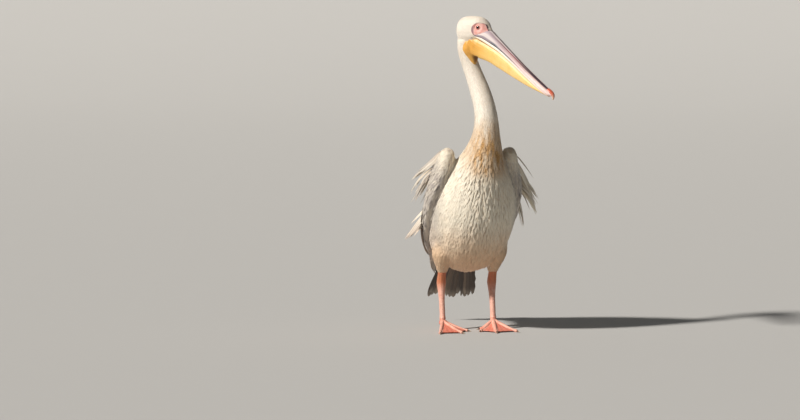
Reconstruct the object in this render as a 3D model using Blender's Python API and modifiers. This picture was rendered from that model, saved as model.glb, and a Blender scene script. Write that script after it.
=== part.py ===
"""Great white pelican, life size, standing upright with its head turned to its left.

The bird faces -Y, its left side is at +X and +Z is up. Lengths are in metres and angles in degrees.
The body is one long loft along the spine, from the tail root to the skull, parted into lengths by
thin cuts. What lies on it (wings, thighs, pouch, tail) is cut back from a slightly grown copy of it,
so that the pieces meet with no overlap.
"""

import math
from dataclasses import dataclass, replace

import bmesh
import bpy
from mathutils import Matrix, Vector

GAP = 0.0003  # clear space between two pieces that touch
GROW = 0.0004  # how much bigger a cutter is than the piece that it stands for
GROUND_BLOCK = 0.4
OVERRUN = 0.02  # how far a cutter runs past what it trims

# The head: a point in the middle of the skull, and the way that it looks.
SKULL = Vector((-0.029, -0.112, 0.997))
HEAD_TURN = 36.5
BILL_DROOP = 37.8
BILL_ROOT = Vector((0.0, -0.098, 0.011))  # the forehead's feathered point, from the skull's middle
EYE_RADIUS = 0.0085
EYE_SEAT = Vector((0.0232, -0.061, 0.0195))  # the left eye, from the skull's middle

# The legs and feet.
LEG_OUT = 0.089
ANKLE_BACK = 0.050
ANKLE_HEIGHT = 0.000
FLOOR = -0.034  # the level that the toes rest on, which is lifted to zero at the end
LEFT_FOOT_TURN = 0.0
RIGHT_FOOT_TURN = 15.0  # towards the midline
TOE_RADIUS = 0.0062
WEB_THICKNESS = 0.0026
CLAW_LENGTH = 0.013
CLAW_RADIUS = 0.0030
CLAW_HOOK = 0.0025  # how far the claw bends down along its length

RING = 22  # corners round the trunk
NECK_RING = 16  # corners round the neck and head
WING_RING = 14
LEG_RING = 14
SHANK_RING = 10
BILL_RING = 14
TAIL_RING = 16

# Base colours, linear.
WHITE = (0.86, 0.80, 0.74)
GREY = (0.42, 0.42, 0.44)
YELLOW = (0.85, 0.56, 0.16)
PINK = (0.80, 0.42, 0.30)
HORN = (0.45, 0.42, 0.45)
NAIL_RED = (0.78, 0.36, 0.26)
DARK = (0.03, 0.02, 0.02)
TAN = (0.55, 0.42, 0.32)


@dataclass(frozen=True)
class Girth:
    """A cross-section square to the spine: its middle, half its width, and its reach to back and belly."""

    x: float
    y: float
    z: float
    half_width: float
    back: float
    belly: float

    def values(self):
        return (self.x, self.y, self.z, self.half_width, self.back, self.belly)


@dataclass(frozen=True)
class Ring:
    """A closed outline of a loft. A power of 2 gives an ellipse, and more gives squarer sides."""

    centre: Vector
    side: Vector
    up: Vector
    half_width: float
    rise: float
    drop: float
    power: float = 2.0

    def corners(self, count):
        points = []
        for step in range(count):
            turn = 2 * math.pi * step / count
            across, along = math.cos(turn), math.sin(turn)
            reach = self.rise if along > 0 else self.drop
            across = math.copysign(abs(across) ** (2 / self.power), across)
            along = math.copysign(abs(along) ** (2 / self.power), along)
            points.append(self.centre + self.side * self.half_width * across + self.up * reach * along)
        return points


# From the tail root to the skull: x, y, z, half width, back, belly.
SPINE = (
    Girth(0.000, 0.243, 0.190, 0.014, 0.010, 0.010),
    Girth(0.000, 0.225, 0.201, 0.044, 0.030, 0.032),
    Girth(0.000, 0.165, 0.238, 0.094, 0.060, 0.080),
    Girth(0.000, 0.100, 0.283, 0.133, 0.086, 0.134),
    Girth(0.001, 0.020, 0.350, 0.148, 0.106, 0.160),
    Girth(0.004, -0.050, 0.430, 0.147, 0.112, 0.146),
    Girth(0.008, -0.100, 0.510, 0.115, 0.096, 0.110),
    Girth(0.014, -0.128, 0.577, 0.076, 0.068, 0.076),
    Girth(0.021, -0.140, 0.640, 0.0510, 0.048, 0.052),
    Girth(0.022, -0.142, 0.700, 0.0415, 0.040, 0.042),
    Girth(0.016, -0.134, 0.750, 0.0380, 0.037, 0.039),
    Girth(0.004, -0.120, 0.800, 0.0355, 0.034, 0.036),
    Girth(-0.012, -0.108, 0.850, 0.0315, 0.031, 0.033),
    Girth(-0.028, -0.101, 0.897, 0.0295, 0.030, 0.032),
    Girth(-0.039, -0.101, 0.938, 0.0300, 0.032, 0.033),
    Girth(-0.041, -0.104, 0.973, 0.0300, 0.032, 0.033),
)
NECK_ROOT, NECK_LOW, NECK_HIGH, NECK_TOP = 7.3, 9.5, 12.0, 15.0


def blend(before, start, end, after, share):
    """Catmull-Rom between start and end."""
    return 0.5 * (
        2 * start
        + (end - before) * share
        + (2 * before - 5 * start + 4 * end - after) * share**2
        + (3 * start - before - 3 * end + after) * share**3
    )


def between(rows, place):
    """The numbers of a table at a place counted in rows, on a smooth curve through all its rows."""
    last = len(rows) - 1
    first = max(0, min(last - 1, math.floor(place)))
    four = [rows[max(0, min(last, first + step))] for step in (-1, 0, 1, 2)]
    return [blend(*numbers, place - first) for numbers in zip(*four)]


def spread(start, end, count):
    return [start + (end - start) * step / (count - 1) for step in range(count)]


def body_ring(place, grow=0.0):
    rows = [girth.values() for girth in SPINE]
    x, y, z, half_width, back, belly = between(rows, place)
    ahead, behind = between(rows, place + 0.05), between(rows, place - 0.05)
    along = (Vector(ahead[:3]) - Vector(behind[:3])).normalized()
    side = (Vector((1, 0, 0)) - along * along.x).normalized()
    up = along.cross(side)
    return Ring(Vector((x, y, z)), side, up, half_width + grow, back + grow, belly + grow), along


def body_rings(start, end, count, grow=0.0):
    """Rings of the body between two places on the spine, the end ones drawn in by half the gap."""
    rings = []
    for step, place in enumerate(spread(start, end, count)):
        ring, along = body_ring(place, grow)
        inward = {0: GAP / 2, count - 1: -GAP / 2}.get(step, 0.0)
        rings.append(replace(ring, centre=ring.centre + along * inward))
    return rings


def collection(name):
    made = bpy.data.collections.new(name)
    bpy.context.scene.collection.children.link(made)
    return made


def material(name, colour, roughness):
    made = bpy.data.materials.new(name)
    made.use_nodes = True
    shader = made.node_tree.nodes["Principled BSDF"]
    shader.inputs["Base Color"].default_value = (*colour, 1.0)
    shader.inputs["Roughness"].default_value = roughness
    shader.inputs["Metallic"].default_value = 0.0
    return made


class Model:
    """Makes the named objects and keeps the cutters apart from the parts."""

    def __init__(self):
        self.parts = collection("Pelican")
        self.cutters = collection("Cutters")
        self.finishes = {
            "plumage": material("plumage", WHITE, 0.8),
            "quills": material("quills", GREY, 0.6),
            "pouch_skin": material("pouch_skin", YELLOW, 0.5),
            "leg_skin": material("leg_skin", PINK, 0.5),
            "horn": material("horn", HORN, 0.35),
            "nail": material("nail", NAIL_RED, 0.35),
            "eye": material("eye", DARK, 0.1),
            "claw": material("claw", TAN, 0.4),
        }

    def add(self, name, mesh, finish=None):
        """A part when it has a finish, and a cutter when it has none."""
        made = bpy.data.objects.new(name, mesh)
        if finish is None:
            self.cutters.objects.link(made)
            made.hide_render = True
            made.display_type = "WIRE"
        else:
            self.parts.objects.link(made)
            mesh.materials.clear()
            mesh.materials.append(self.finishes[finish])
            mesh.shade_smooth()
            mesh.set_sharp_from_angle(angle=math.radians(40))
        return made

    def loft(self, name, rings, count, finish=None, matrix=None):
        return self.add(name, loft_mesh(name, rings, count, matrix), finish)

    def boolean(self, target, other, operation="DIFFERENCE"):
        modifier = target.modifiers.new(other.name, "BOOLEAN")
        modifier.operation = operation
        modifier.solver = "EXACT"
        modifier.object = other


def loft_mesh(name, rings, count, matrix=None):
    """A closed skin through the rings, capped flat at both ends."""
    shape = bmesh.new()
    loops = [[shape.verts.new(point) for point in ring.corners(count)] for ring in rings]
    for near, far in zip(loops, loops[1:]):
        for step in range(count):
            after = (step + 1) % count
            shape.faces.new((near[step], near[after], far[after], far[step]))
    shape.faces.new(loops[0][::-1])
    shape.faces.new(loops[-1])
    if matrix is not None:
        bmesh.ops.transform(shape, matrix=matrix, verts=shape.verts)
    bmesh.ops.recalc_face_normals(shape, faces=shape.faces)
    mesh = bpy.data.meshes.new(name)
    shape.to_mesh(mesh)
    shape.free()
    return mesh


def table_rings(rows, count, to_ring):
    """Rings at even steps through a table, each made from the table's numbers by to_ring."""
    return [to_ring(*between(rows, place)) for place in spread(0.0, len(rows) - 1.0, count)]


def turned(degrees, axis):
    return Matrix.Rotation(math.radians(degrees), 4, axis)


HEAD_FRAME = Matrix.Translation(SKULL) @ turned(HEAD_TURN, "Z")
BILL_FRAME = HEAD_FRAME @ Matrix.Translation(BILL_ROOT) @ turned(BILL_DROOP, "X")

# How far ahead of the skull's middle, half width, top and bottom of the head.
HEAD_ROWS = (
    (-0.0460, 0.008, 0.026, -0.002),
    (-0.0405, 0.024, 0.041, -0.022),
    (-0.0270, 0.0350, 0.0525, -0.0400),
    (-0.0030, 0.0395, 0.0575, -0.0440),
    (0.0250, 0.0380, 0.0560, -0.0400),
    (0.0450, 0.0345, 0.0505, -0.0330),
    (0.0620, 0.0290, 0.0415, -0.0250),
    (0.0780, 0.0200, 0.0305, -0.0180),
    (0.0900, 0.0135, 0.0205, -0.0100),
    (0.0985, 0.0070, 0.0120, 0.0010),
)


def head_rings(grow=0.0):
    def ring(ahead, half_width, top, bottom):
        half = (top - bottom) / 2
        return Ring(
            Vector((0, -ahead, (top + bottom) / 2)),
            Vector((1, 0, 0)),
            Vector((0, 0, 1)),
            half_width + grow,
            half + grow,
            half + grow,
        )

    return table_rings(HEAD_ROWS, 14, ring)


# The upper mandible, along the bill from the forehead's point: half width, culmen height, tomium depth.
UPPER_ROWS = (
    (-0.036, 0.0330, -0.0330, -0.0490),
    (-0.018, 0.0310, -0.0170, -0.0430),
    (0.000, 0.0280, -0.002, -0.0375),
    (0.035, 0.0245, -0.002, -0.0285),
    (0.080, 0.0215, -0.003, -0.0205),
    (0.140, 0.0192, -0.0035, -0.0170),
    (0.200, 0.0185, -0.003, -0.0155),
    (0.260, 0.0188, -0.0005, -0.0130),
    (0.305, 0.0178, 0.0020, -0.0105),
    (0.330, 0.0130, 0.0035, -0.0090),
    (0.3415, 0.0070, 0.0035, -0.0070),
)
# One side of the lower mandible, from the gape to the tip: along, outward, down, and half its height.
RAMUS_ROWS = (
    (-0.030, 0.0340, -0.0530, 0.0048),
    (0.000, 0.0282, -0.0430, 0.0048),
    (0.035, 0.0240, -0.0338, 0.0046),
    (0.080, 0.0210, -0.0256, 0.0044),
    (0.140, 0.0190, -0.0219, 0.0042),
    (0.200, 0.0182, -0.0201, 0.0040),
    (0.260, 0.0180, -0.0172, 0.0036),
    (0.305, 0.0157, -0.0141, 0.0030),
    (0.328, 0.0095, -0.0122, 0.0026),
    (0.336, 0.0000, -0.0112, 0.0024),
)
RAMUS_HALF_THICKNESS = 0.0022
# The pouch under the bill: along, half width, top and bottom.
POUCH_ROWS = (
    (-0.040, 0.0300, -0.055, -0.106),
    (-0.010, 0.0285, -0.046, -0.112),
    (0.020, 0.0250, -0.038, -0.105),
    (0.060, 0.0220, -0.029, -0.0885),
    (0.105, 0.0200, -0.024, -0.0775),
    (0.155, 0.0187, -0.0215, -0.0655),
    (0.205, 0.0180, -0.0200, -0.0530),
    (0.255, 0.0172, -0.0175, -0.0390),
    (0.295, 0.0150, -0.0150, -0.0255),
    (0.325, 0.0095, -0.0130, -0.0165),
)
# The bag's round rear end under the skull, from the skull's middle.
THROAT = Vector((0, -0.013, -0.060))
THROAT_HALF_SIZES = (0.030, 0.026, 0.049)
NAIL_PATH = (
    Vector((0, -0.3300, 0.0010)),
    Vector((0, -0.3420, 0.0010)),
    Vector((0, -0.3500, -0.0050)),
    Vector((0, -0.3520, -0.0130)),
)


def slab_ring(along, half_width, top, bottom, grow=0.0, power=2.0):
    half = (top - bottom) / 2
    return Ring(
        Vector((0, -along, (top + bottom) / 2)),
        Vector((1, 0, 0)),
        Vector((0, 0, 1)),
        half_width + grow,
        half + grow,
        half + grow,
        power,
    )


def upper_rings(grow=0.0):
    return table_rings(UPPER_ROWS, 15, lambda *row: slab_ring(*row, grow=grow, power=2.3))


def lower_rings(grow=0.0):
    """Both sides of the lower mandible as one strip that turns round at the tip."""
    left = [between(RAMUS_ROWS, place) for place in spread(0.0, len(RAMUS_ROWS) - 1.0, 14)]
    line = [(Vector((out, -along, down)), half) for along, out, down, half in left]
    line += [(Vector((-point.x, point.y, point.z)), half) for point, half in reversed(line[:-1])]
    rings = []
    for index, (point, half) in enumerate(line):
        ahead = line[min(index + 1, len(line) - 1)][0]
        behind = line[max(index - 1, 0)][0]
        along = (ahead - behind).normalized()
        side = along.cross(Vector((0, 0, 1))).normalized()
        thickness, height = RAMUS_HALF_THICKNESS + grow, half + grow
        rings.append(Ring(point, side, side.cross(along), thickness, height, height, 3.0))
    return rings


def nail_rings(grow=0.0):
    rings = []
    for place in spread(0.0, len(NAIL_PATH) - 1.0, 6):
        point = Vector(between(NAIL_PATH, place))
        ahead, behind = between(NAIL_PATH, place + 0.1), between(NAIL_PATH, place - 0.1)
        along = (Vector(ahead) - Vector(behind)).normalized()
        side = Vector((1, 0, 0))
        share = place / (len(NAIL_PATH) - 1)
        half_width = 0.0078 * (1 - 0.72 * share**2) + grow
        thickness = 0.0048 * (1 - 0.62 * share) + grow
        rings.append(Ring(point, side, side.cross(along), half_width, thickness, thickness))
    return rings


def ellipsoid(name, centre, half_sizes, matrix, segments=14):
    shape = bmesh.new()
    bmesh.ops.create_uvsphere(shape, u_segments=segments, v_segments=segments // 2 + 2, radius=1.0)
    scale = Matrix.Diagonal((*half_sizes, 1.0))
    bmesh.ops.transform(shape, matrix=matrix @ Matrix.Translation(centre) @ scale, verts=shape.verts)
    mesh = bpy.data.meshes.new(name)
    shape.to_mesh(mesh)
    shape.free()
    return mesh


def eye_mesh(side, grow=0.0):
    seat = Vector((EYE_SEAT.x * side, EYE_SEAT.y, EYE_SEAT.z))
    return ellipsoid("eye", seat, (EYE_RADIUS + grow,) * 3, HEAD_FRAME, 10)


SIDES = (("left", 1), ("right", -1))


def make_head_and_neck(model):
    """The neck in three lengths, the skull with its eyes, and the bill with its pouch."""
    neck = {
        "neck_lower": (NECK_ROOT, NECK_LOW, 7),
        "neck_middle": (NECK_LOW, NECK_HIGH, 7),
        "neck_upper": (NECK_HIGH, NECK_TOP, 9),
    }
    lengths = {
        name: model.loft(name, body_rings(*span), NECK_RING, "plumage") for name, span in neck.items()
    }
    head = model.loft("head", head_rings(), NECK_RING, "plumage", HEAD_FRAME)
    head_cut = model.loft("head_cut", head_rings(GROW), NECK_RING, None, HEAD_FRAME)
    model.boolean(lengths["neck_upper"], head_cut)
    for word, side in SIDES:
        model.add("eye_" + word, eye_mesh(side), "eye")
        model.boolean(head, model.add("socket_" + word, eye_mesh(side, GROW)))

    upper = model.loft("bill_upper", upper_rings(), BILL_RING, "horn", BILL_FRAME)
    model.boolean(upper, head_cut)
    nail = model.loft("bill_nail", nail_rings(), 8, "nail", BILL_FRAME)
    upper_cut = model.loft("upper_cut", upper_rings(GROW), BILL_RING, None, BILL_FRAME)
    model.boolean(nail, upper_cut)
    lower = model.loft("bill_lower", lower_rings(), 6, "horn", BILL_FRAME)
    model.boolean(lower, head_cut)
    model.boolean(lower, upper_cut)

    bag = table_rings(POUCH_ROWS, 14, lambda *row: slab_ring(*row, power=2.4))
    pouch = model.loft("pouch", bag, 16, "pouch_skin", BILL_FRAME)
    throat = ellipsoid("throat", THROAT, THROAT_HALF_SIZES, HEAD_FRAME, 12)
    model.boolean(pouch, model.add("throat_join", throat), "UNION")
    neck_cut = model.loft("neck_cut", body_rings(NECK_HIGH - 0.75, NECK_TOP, 11, GROW), NECK_RING)
    lower_cut = model.loft("lower_cut", lower_rings(GROW), 6, None, BILL_FRAME)
    for cutter in (head_cut, neck_cut, lower_cut, upper_cut):
        model.boolean(pouch, cutter)


# The folded wing, from the wrist to the tip, for the left side: x, y, z, tilt of the chord towards the
# midline, half thickness, and its reach towards the back and the belly.
WING_ROWS = (
    (0.103, -0.128, 0.597, 4, 0.010, 0.013, 0.014),
    (0.106, -0.116, 0.586, 6, 0.0250, 0.030, 0.034),
    (0.111, -0.085, 0.556, 10, 0.0310, 0.047, 0.062),
    (0.118, -0.030, 0.500, 17, 0.0390, 0.072, 0.088),
    (0.112, 0.040, 0.425, 28, 0.0450, 0.090, 0.096),
    (0.095, 0.110, 0.352, 39, 0.0430, 0.090, 0.088),
    (0.078, 0.180, 0.279, 50, 0.0330, 0.074, 0.068),
    (0.061, 0.245, 0.216, 60, 0.0190, 0.048, 0.044),
    (0.044, 0.302, 0.164, 62, 0.0090, 0.026, 0.026),
    (0.033, 0.336, 0.135, 66, 0.0040, 0.012, 0.012),
)
WING_CUTS = {"wrist": (0.0, 3.15), "forearm": (3.15, 5.4), "quills": (5.4, 9.0)}
WING_STEP = 0.45  # rows between two rings of the wing
WING_FINISH = {"wrist": "plumage", "forearm": "plumage", "quills": "quills"}
SHOULDER_SHIFT = 0.003  # the upper body leans this far to the left


def wing_ring(place, side):
    x, y, z, tilt, thick, rise, drop = between(WING_ROWS, place)
    ahead, behind = between(WING_ROWS, place + 0.05), between(WING_ROWS, place - 0.05)
    along = Vector(ahead[:3]) - Vector(behind[:3])
    along = Vector((side * along.x, along.y, along.z)).normalized()
    lean = math.radians(tilt)
    up = Vector((-side * math.sin(lean), 0.71 * math.cos(lean), 0.70 * math.cos(lean)))
    up = (up - along * up.dot(along)).normalized()
    shift = SHOULDER_SHIFT * max(0.0, 1 - place / 5)
    centre = Vector((side * x + shift, y, z))
    return Ring(centre, up.cross(along).normalized(), up, thick, rise, drop, 2.2), along


def wing_rings(start, end, count, side, grow=0.0):
    rings = []
    for step, place in enumerate(spread(start, end, count)):
        ring, along = wing_ring(place, side)
        inward = {0: GAP / 2, count - 1: -GAP / 2}.get(step, 0.0)
        rings.append(
            Ring(
                ring.centre + along * inward,
                ring.side,
                ring.up,
                ring.half_width + grow,
                ring.rise + grow,
                ring.drop + grow,
                ring.power,
            )
        )
    return rings


@dataclass(frozen=True)
class Plume:
    """A long loose feather that stands off the wing: its root, tip, sideways bow and half width."""

    root: Vector
    tip: Vector
    bow: float
    half_width: float


PLUMES = {
    "left": (
        Plume(Vector((0.140, -0.055, 0.562)), Vector((0.209, 0.030, 0.471)), 0.004, 0.0045),
        Plume(Vector((0.146, -0.020, 0.506)), Vector((0.243, 0.070, 0.407)), 0.006, 0.0075),
        Plume(Vector((0.146, 0.000, 0.476)), Vector((0.242, 0.080, 0.374)), 0.012, 0.0105),
        Plume(Vector((0.146, 0.030, 0.419)), Vector((0.200, 0.090, 0.322)), 0.010, 0.0085),
    ),
    "right": (
        Plume(Vector((-0.132, -0.070, 0.580)), Vector((-0.195, 0.020, 0.500)), -0.006, 0.0040),
        Plume(Vector((-0.140, -0.030, 0.534)), Vector((-0.194, 0.050, 0.447)), 0.005, 0.0070),
        Plume(Vector((-0.142, -0.010, 0.504)), Vector((-0.180, 0.060, 0.426)), 0.004, 0.0070),
        Plume(Vector((-0.142, 0.040, 0.414)), Vector((-0.205, 0.100, 0.285)), -0.012, 0.0080),
    ),
}
PLUME_HALF_THICKNESS = 0.0007


def plume_rings(plume, side):
    """A blade that is widest a third of the way along and pointed at its tip."""
    along = (plume.tip - plume.root).normalized()
    out = Vector((side, 0, 0))
    out = (out - along * out.dot(along)).normalized()
    broad = along.cross(out)
    rings = []
    for share in spread(0.0, 1.0, 7):
        middle = plume.root.lerp(plume.tip, share) + out * plume.bow * math.sin(math.pi * share)
        width = plume.half_width * (1 - share**2.2) * (0.55 + 0.45 * min(1.0, share * 3)) + 0.0010
        rings.append(Ring(middle, out, broad, PLUME_HALF_THICKNESS, width, width))
    return rings


# The tail fan, from its root to its end: y, z, half width and half thickness.
TAIL_ROWS = (
    (0.205, 0.222, 0.040, 0.0120),
    (0.235, 0.190, 0.052, 0.0100),
    (0.275, 0.145, 0.066, 0.0070),
    (0.318, 0.096, 0.078, 0.0045),
    (0.345, 0.066, 0.083, 0.0028),
)


def tail_rings(grow=0.0):
    def ring(y, z, half_width, half_thickness):
        return Ring(
            Vector((0, y, z)),
            Vector((1, 0, 0)),
            Vector((0, 0.745, 0.667)),
            half_width + grow,
            half_thickness + grow,
            half_thickness + grow,
            2.6,
        )

    return table_rings(TAIL_ROWS, 6, ring)


def make_trunk_wings_and_tail(model):
    """The trunk with its tail and wings. Returns the trunk's cutter."""
    model.loft("trunk", body_rings(0.0, NECK_ROOT, 21), RING, "plumage")
    trunk_cut = model.loft("trunk_cut", body_rings(0.0, NECK_ROOT * 1.2, 25, GROW), RING)
    tail = model.loft("tail", tail_rings(), TAIL_RING, "quills")
    model.boolean(tail, trunk_cut)
    tail_cut = model.loft("tail_cut", tail_rings(GROW), TAIL_RING)
    for word, side in SIDES:
        for piece, (start, end) in WING_CUTS.items():
            count = 1 + round((end - start) / WING_STEP)
            rings = wing_rings(start, end, count, side)
            wing = model.loft(f"wing_{word}_{piece}", rings, WING_RING, WING_FINISH[piece])
            model.boolean(wing, trunk_cut)
            if piece == "quills":
                model.boolean(wing, tail_cut)
        wing_cut = model.loft(f"wing_{word}_cut", wing_rings(0.0, 9.0, 21, side, GROW), WING_RING)
        for number, plume in enumerate(PLUMES[word], 1):
            made = model.loft(f"wing_{word}_plume_{number}", plume_rings(plume, side), 6, "plumage")
            model.boolean(made, wing_cut)
    return trunk_cut


# The feathered thigh and the bare shank, from top to bottom: y, z, half width and half depth.
THIGH_ROWS = (
    (0.020, 0.300, 0.042, 0.050),
    (0.026, 0.245, 0.044, 0.052),
    (0.040, 0.205, 0.034, 0.040),
    (0.054, 0.180, 0.0205, 0.024),
    (0.060, 0.167, 0.0150, 0.0165),
)
SHANK_ROWS = (
    (0.0600, 0.167, 0.0130, 0.0150),
    (0.0700, 0.148, 0.0132, 0.0155),
    (0.0770, 0.130, 0.0145, 0.0175),
    (0.0745, 0.109, 0.0118, 0.0150),
    (0.0680, 0.080, 0.0088, 0.0118),
    (0.0610, 0.047, 0.0078, 0.0105),
    (0.0550, 0.022, 0.0090, 0.0115),
    (0.0520, 0.0075, 0.0110, 0.0130),
)


def leg_rings(rows, side, count, ends=0.0):
    """Rings down a leg. A thigh's rings lie level, so that its cut meets the shank's."""
    rings = []
    for place in spread(0.0, len(rows) - 1.0, count):
        y, z, half_width, half_depth = between(rows, place)
        lift = ends if place == 0.0 else 0.0
        rings.append(
            Ring(
                Vector((side * LEG_OUT, y, z - lift)),
                Vector((1, 0, 0)),
                Vector((0, 1, 0)),
                half_width,
                half_depth,
                half_depth,
            )
        )
    return rings


@dataclass(frozen=True)
class Toe:
    """A toe: its angle outward from straight ahead, and its length from the ankle to the claw's root."""

    angle: float
    length: float


TOES = (Toe(-80, 0.050), Toe(-40, 0.094), Toe(-7, 0.122), Toe(31, 0.120))
WEB_SCALLOP = 0.10  # how far the web's edge draws in between two toes
TIP_HEIGHT = FLOOR + 0.0038


def toe_point(toe, share, side, turn):
    """A point along a toe, which slopes from the ankle down to the floor."""
    angle = math.radians(toe.angle - turn)
    reach = toe.length * share
    height = TIP_HEIGHT + (ANKLE_HEIGHT - TIP_HEIGHT) * max(0.0, 1 - share) ** 1.35
    out, back = LEG_OUT + reach * math.sin(angle), ANKLE_BACK - reach * math.cos(angle)
    return Vector((side * out, back, height))


def web_mesh(side, turn):
    """The skin between the toes, as a fan that is drawn in between their tips."""
    shape = bmesh.new()
    columns = []
    per_gap = 3
    for first, second in zip(TOES, TOES[1:]):
        steps = per_gap if second is not TOES[-1] else per_gap + 1
        for step in range(steps):
            share = step / per_gap
            bulge = math.sin(math.pi * share)
            toe = Toe(
                first.angle + (second.angle - first.angle) * share,
                (first.length + (second.length - first.length) * share) * (1 - WEB_SCALLOP * bulge),
            )
            columns.append([toe_point(toe, reach, side, turn) for reach in spread(0.04, 0.92, 4)])
    rows = [[shape.verts.new(point) for point in column] for column in columns]
    for near, far in zip(rows, rows[1:]):
        for step in range(len(near) - 1):
            shape.faces.new((near[step], near[step + 1], far[step + 1], far[step]))
    bmesh.ops.recalc_face_normals(shape, faces=shape.faces)
    mesh = bpy.data.meshes.new("web")
    shape.to_mesh(mesh)
    shape.free()
    return mesh


def toe_heading(toe, share, side, turn):
    ahead, behind = toe_point(toe, share + 0.02, side, turn), toe_point(toe, share - 0.02, side, turn)
    return (ahead - behind).normalized()


def toe_rings(toe, side, turn):
    rings = []
    for share in spread(0.0, 1.0, 6):
        point = toe_point(toe, share, side, turn)
        along = toe_heading(toe, share, side, turn)
        across = along.cross(Vector((0, 0, 1))).normalized()
        knuckle = 1 + 0.14 * math.cos(6 * math.pi * share)
        radius = TOE_RADIUS * (1.15 - 0.38 * share) * knuckle
        rings.append(Ring(point, across, across.cross(along), radius, radius, radius))
    return rings


def claw_rings(toe, side, turn):
    """A short horn cone that curves down to the floor from just past the toe's end."""
    root = toe_point(toe, 1.0, side, turn)
    along = toe_heading(toe, 1.0, side, turn)
    across = along.cross(Vector((0, 0, 1))).normalized()
    above = across.cross(along)
    rings = []
    for share in spread(0.0, 1.0, 4):
        point = root + along * (GAP + CLAW_LENGTH * share) + above * (0.0010 - CLAW_HOOK * share**2)
        radius = CLAW_RADIUS * (1 - 0.85 * share) + 0.0003
        rings.append(Ring(point, across, above, radius * 0.85, radius, radius))
    return rings


def ground_mesh(side):
    """A block under one foot, which cuts its soles flat at floor level."""
    shape = bmesh.new()
    bmesh.ops.create_cube(shape, size=GROUND_BLOCK)
    below = Matrix.Translation((side * LEG_OUT, 0, FLOOR - GROUND_BLOCK / 2))
    bmesh.ops.transform(shape, matrix=below, verts=shape.verts)
    mesh = bpy.data.meshes.new("ground")
    shape.to_mesh(mesh)
    shape.free()
    return mesh


def make_legs(model, trunk_cut):
    """Thighs, shanks, and webbed feet that stand on flats at floor level."""
    for word, side in SIDES:
        turn = LEFT_FOOT_TURN if word == "left" else RIGHT_FOOT_TURN
        thigh = model.loft(f"thigh_{word}", leg_rings(THIGH_ROWS, side, 7), LEG_RING, "plumage")
        model.boolean(thigh, trunk_cut)
        model.loft(f"shank_{word}", leg_rings(SHANK_ROWS, side, 11, GAP), SHANK_RING, "leg_skin")

        foot = model.add(f"foot_{word}", web_mesh(side, turn), "leg_skin")
        shell = foot.modifiers.new("thickness", "SOLIDIFY")
        shell.thickness = WEB_THICKNESS
        shell.offset = 0.0
        knuckle = Vector((side * LEG_OUT, ANKLE_BACK + 0.001, ANKLE_HEIGHT - 0.006))
        heel = ellipsoid("heel", knuckle, (0.0125, 0.0150, 0.0120), Matrix.Identity(4), 10)
        model.boolean(foot, model.add(f"heel_{word}_join", heel), "UNION")
        for number, toe in enumerate(TOES, 1):
            tube = model.loft(f"toe_{word}_{number}_join", toe_rings(toe, side, turn), 6)
            model.boolean(foot, tube, "UNION")
            model.loft(f"claw_{word}_{number}", claw_rings(toe, side, turn), 6, "claw")
        model.boolean(foot, model.add(f"ground_{word}_cut", ground_mesh(side)))
        shank_cut = model.loft(f"shank_{word}_cut", shank_trim_rings(side), SHANK_RING)
        model.boolean(foot, shank_cut)


def shank_trim_rings(side):
    """The room that the shank's lower end takes out of the foot."""
    y, z, half_width, half_depth = SHANK_ROWS[-1]
    return [
        Ring(
            Vector((side * LEG_OUT, y, height)),
            Vector((1, 0, 0)),
            Vector((0, 1, 0)),
            half_width + OVERRUN,
            half_depth + OVERRUN,
            half_depth + OVERRUN,
        )
        for height in (z - GAP, z + OVERRUN)
    ]


def centre_on_the_floor(model):
    """Moves everything so that the model's box is centred over the origin, with the floor at zero."""
    bpy.context.view_layer.update()
    graph = bpy.context.evaluated_depsgraph_get()
    corners = [
        part.matrix_world @ Vector(corner)
        for part in model.parts.objects
        for corner in part.evaluated_get(graph).bound_box
    ]
    low = [min(corner[axis] for corner in corners) for axis in range(2)]
    high = [max(corner[axis] for corner in corners) for axis in range(2)]
    shift = Vector((-(low[0] + high[0]) / 2, -(low[1] + high[1]) / 2, -FLOOR))
    for group in (model.parts, model.cutters):
        for thing in group.objects:
            thing.location = shift


def main():
    for old in list(bpy.data.objects):
        bpy.data.objects.remove(old)
    model = Model()
    make_head_and_neck(model)
    trunk_cut = make_trunk_wings_and_tail(model)
    make_legs(model, trunk_cut)
    centre_on_the_floor(model)


main()
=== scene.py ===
"""Great white pelican, life size: one skin under a coat of solid feathers.

The bird faces -Y, its left side is at +X and +Z is up, in metres. The skin is one closed mesh that lies
inside the solids of the body by the coat's depth. Tufts and long vanes grow from it and follow the lie of
the plumage. Bill, pouch, eyes, legs and claws are pieces of their own.
"""

import logging
import math
from collections.abc import Callable
from dataclasses import dataclass, field
from enum import IntEnum

import bmesh
import bpy
import numpy as np
from mathutils import Matrix, Vector
from mathutils.bvhtree import BVHTree
from mathutils.kdtree import KDTree


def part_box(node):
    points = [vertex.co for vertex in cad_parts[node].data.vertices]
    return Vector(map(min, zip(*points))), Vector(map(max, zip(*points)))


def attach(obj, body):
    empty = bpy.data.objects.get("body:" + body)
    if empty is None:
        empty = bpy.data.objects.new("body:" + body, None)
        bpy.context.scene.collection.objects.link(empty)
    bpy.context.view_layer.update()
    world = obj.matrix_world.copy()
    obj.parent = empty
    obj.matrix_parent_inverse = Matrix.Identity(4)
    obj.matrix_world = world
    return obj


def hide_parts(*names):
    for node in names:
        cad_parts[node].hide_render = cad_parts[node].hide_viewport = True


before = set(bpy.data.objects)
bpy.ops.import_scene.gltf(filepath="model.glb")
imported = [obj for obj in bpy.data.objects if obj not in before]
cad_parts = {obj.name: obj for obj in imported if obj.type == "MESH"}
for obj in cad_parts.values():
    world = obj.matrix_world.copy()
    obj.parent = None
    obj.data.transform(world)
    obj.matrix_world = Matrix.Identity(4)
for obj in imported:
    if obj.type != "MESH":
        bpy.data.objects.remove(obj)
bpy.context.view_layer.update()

Array = np.ndarray
Object = bpy.types.Object
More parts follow.
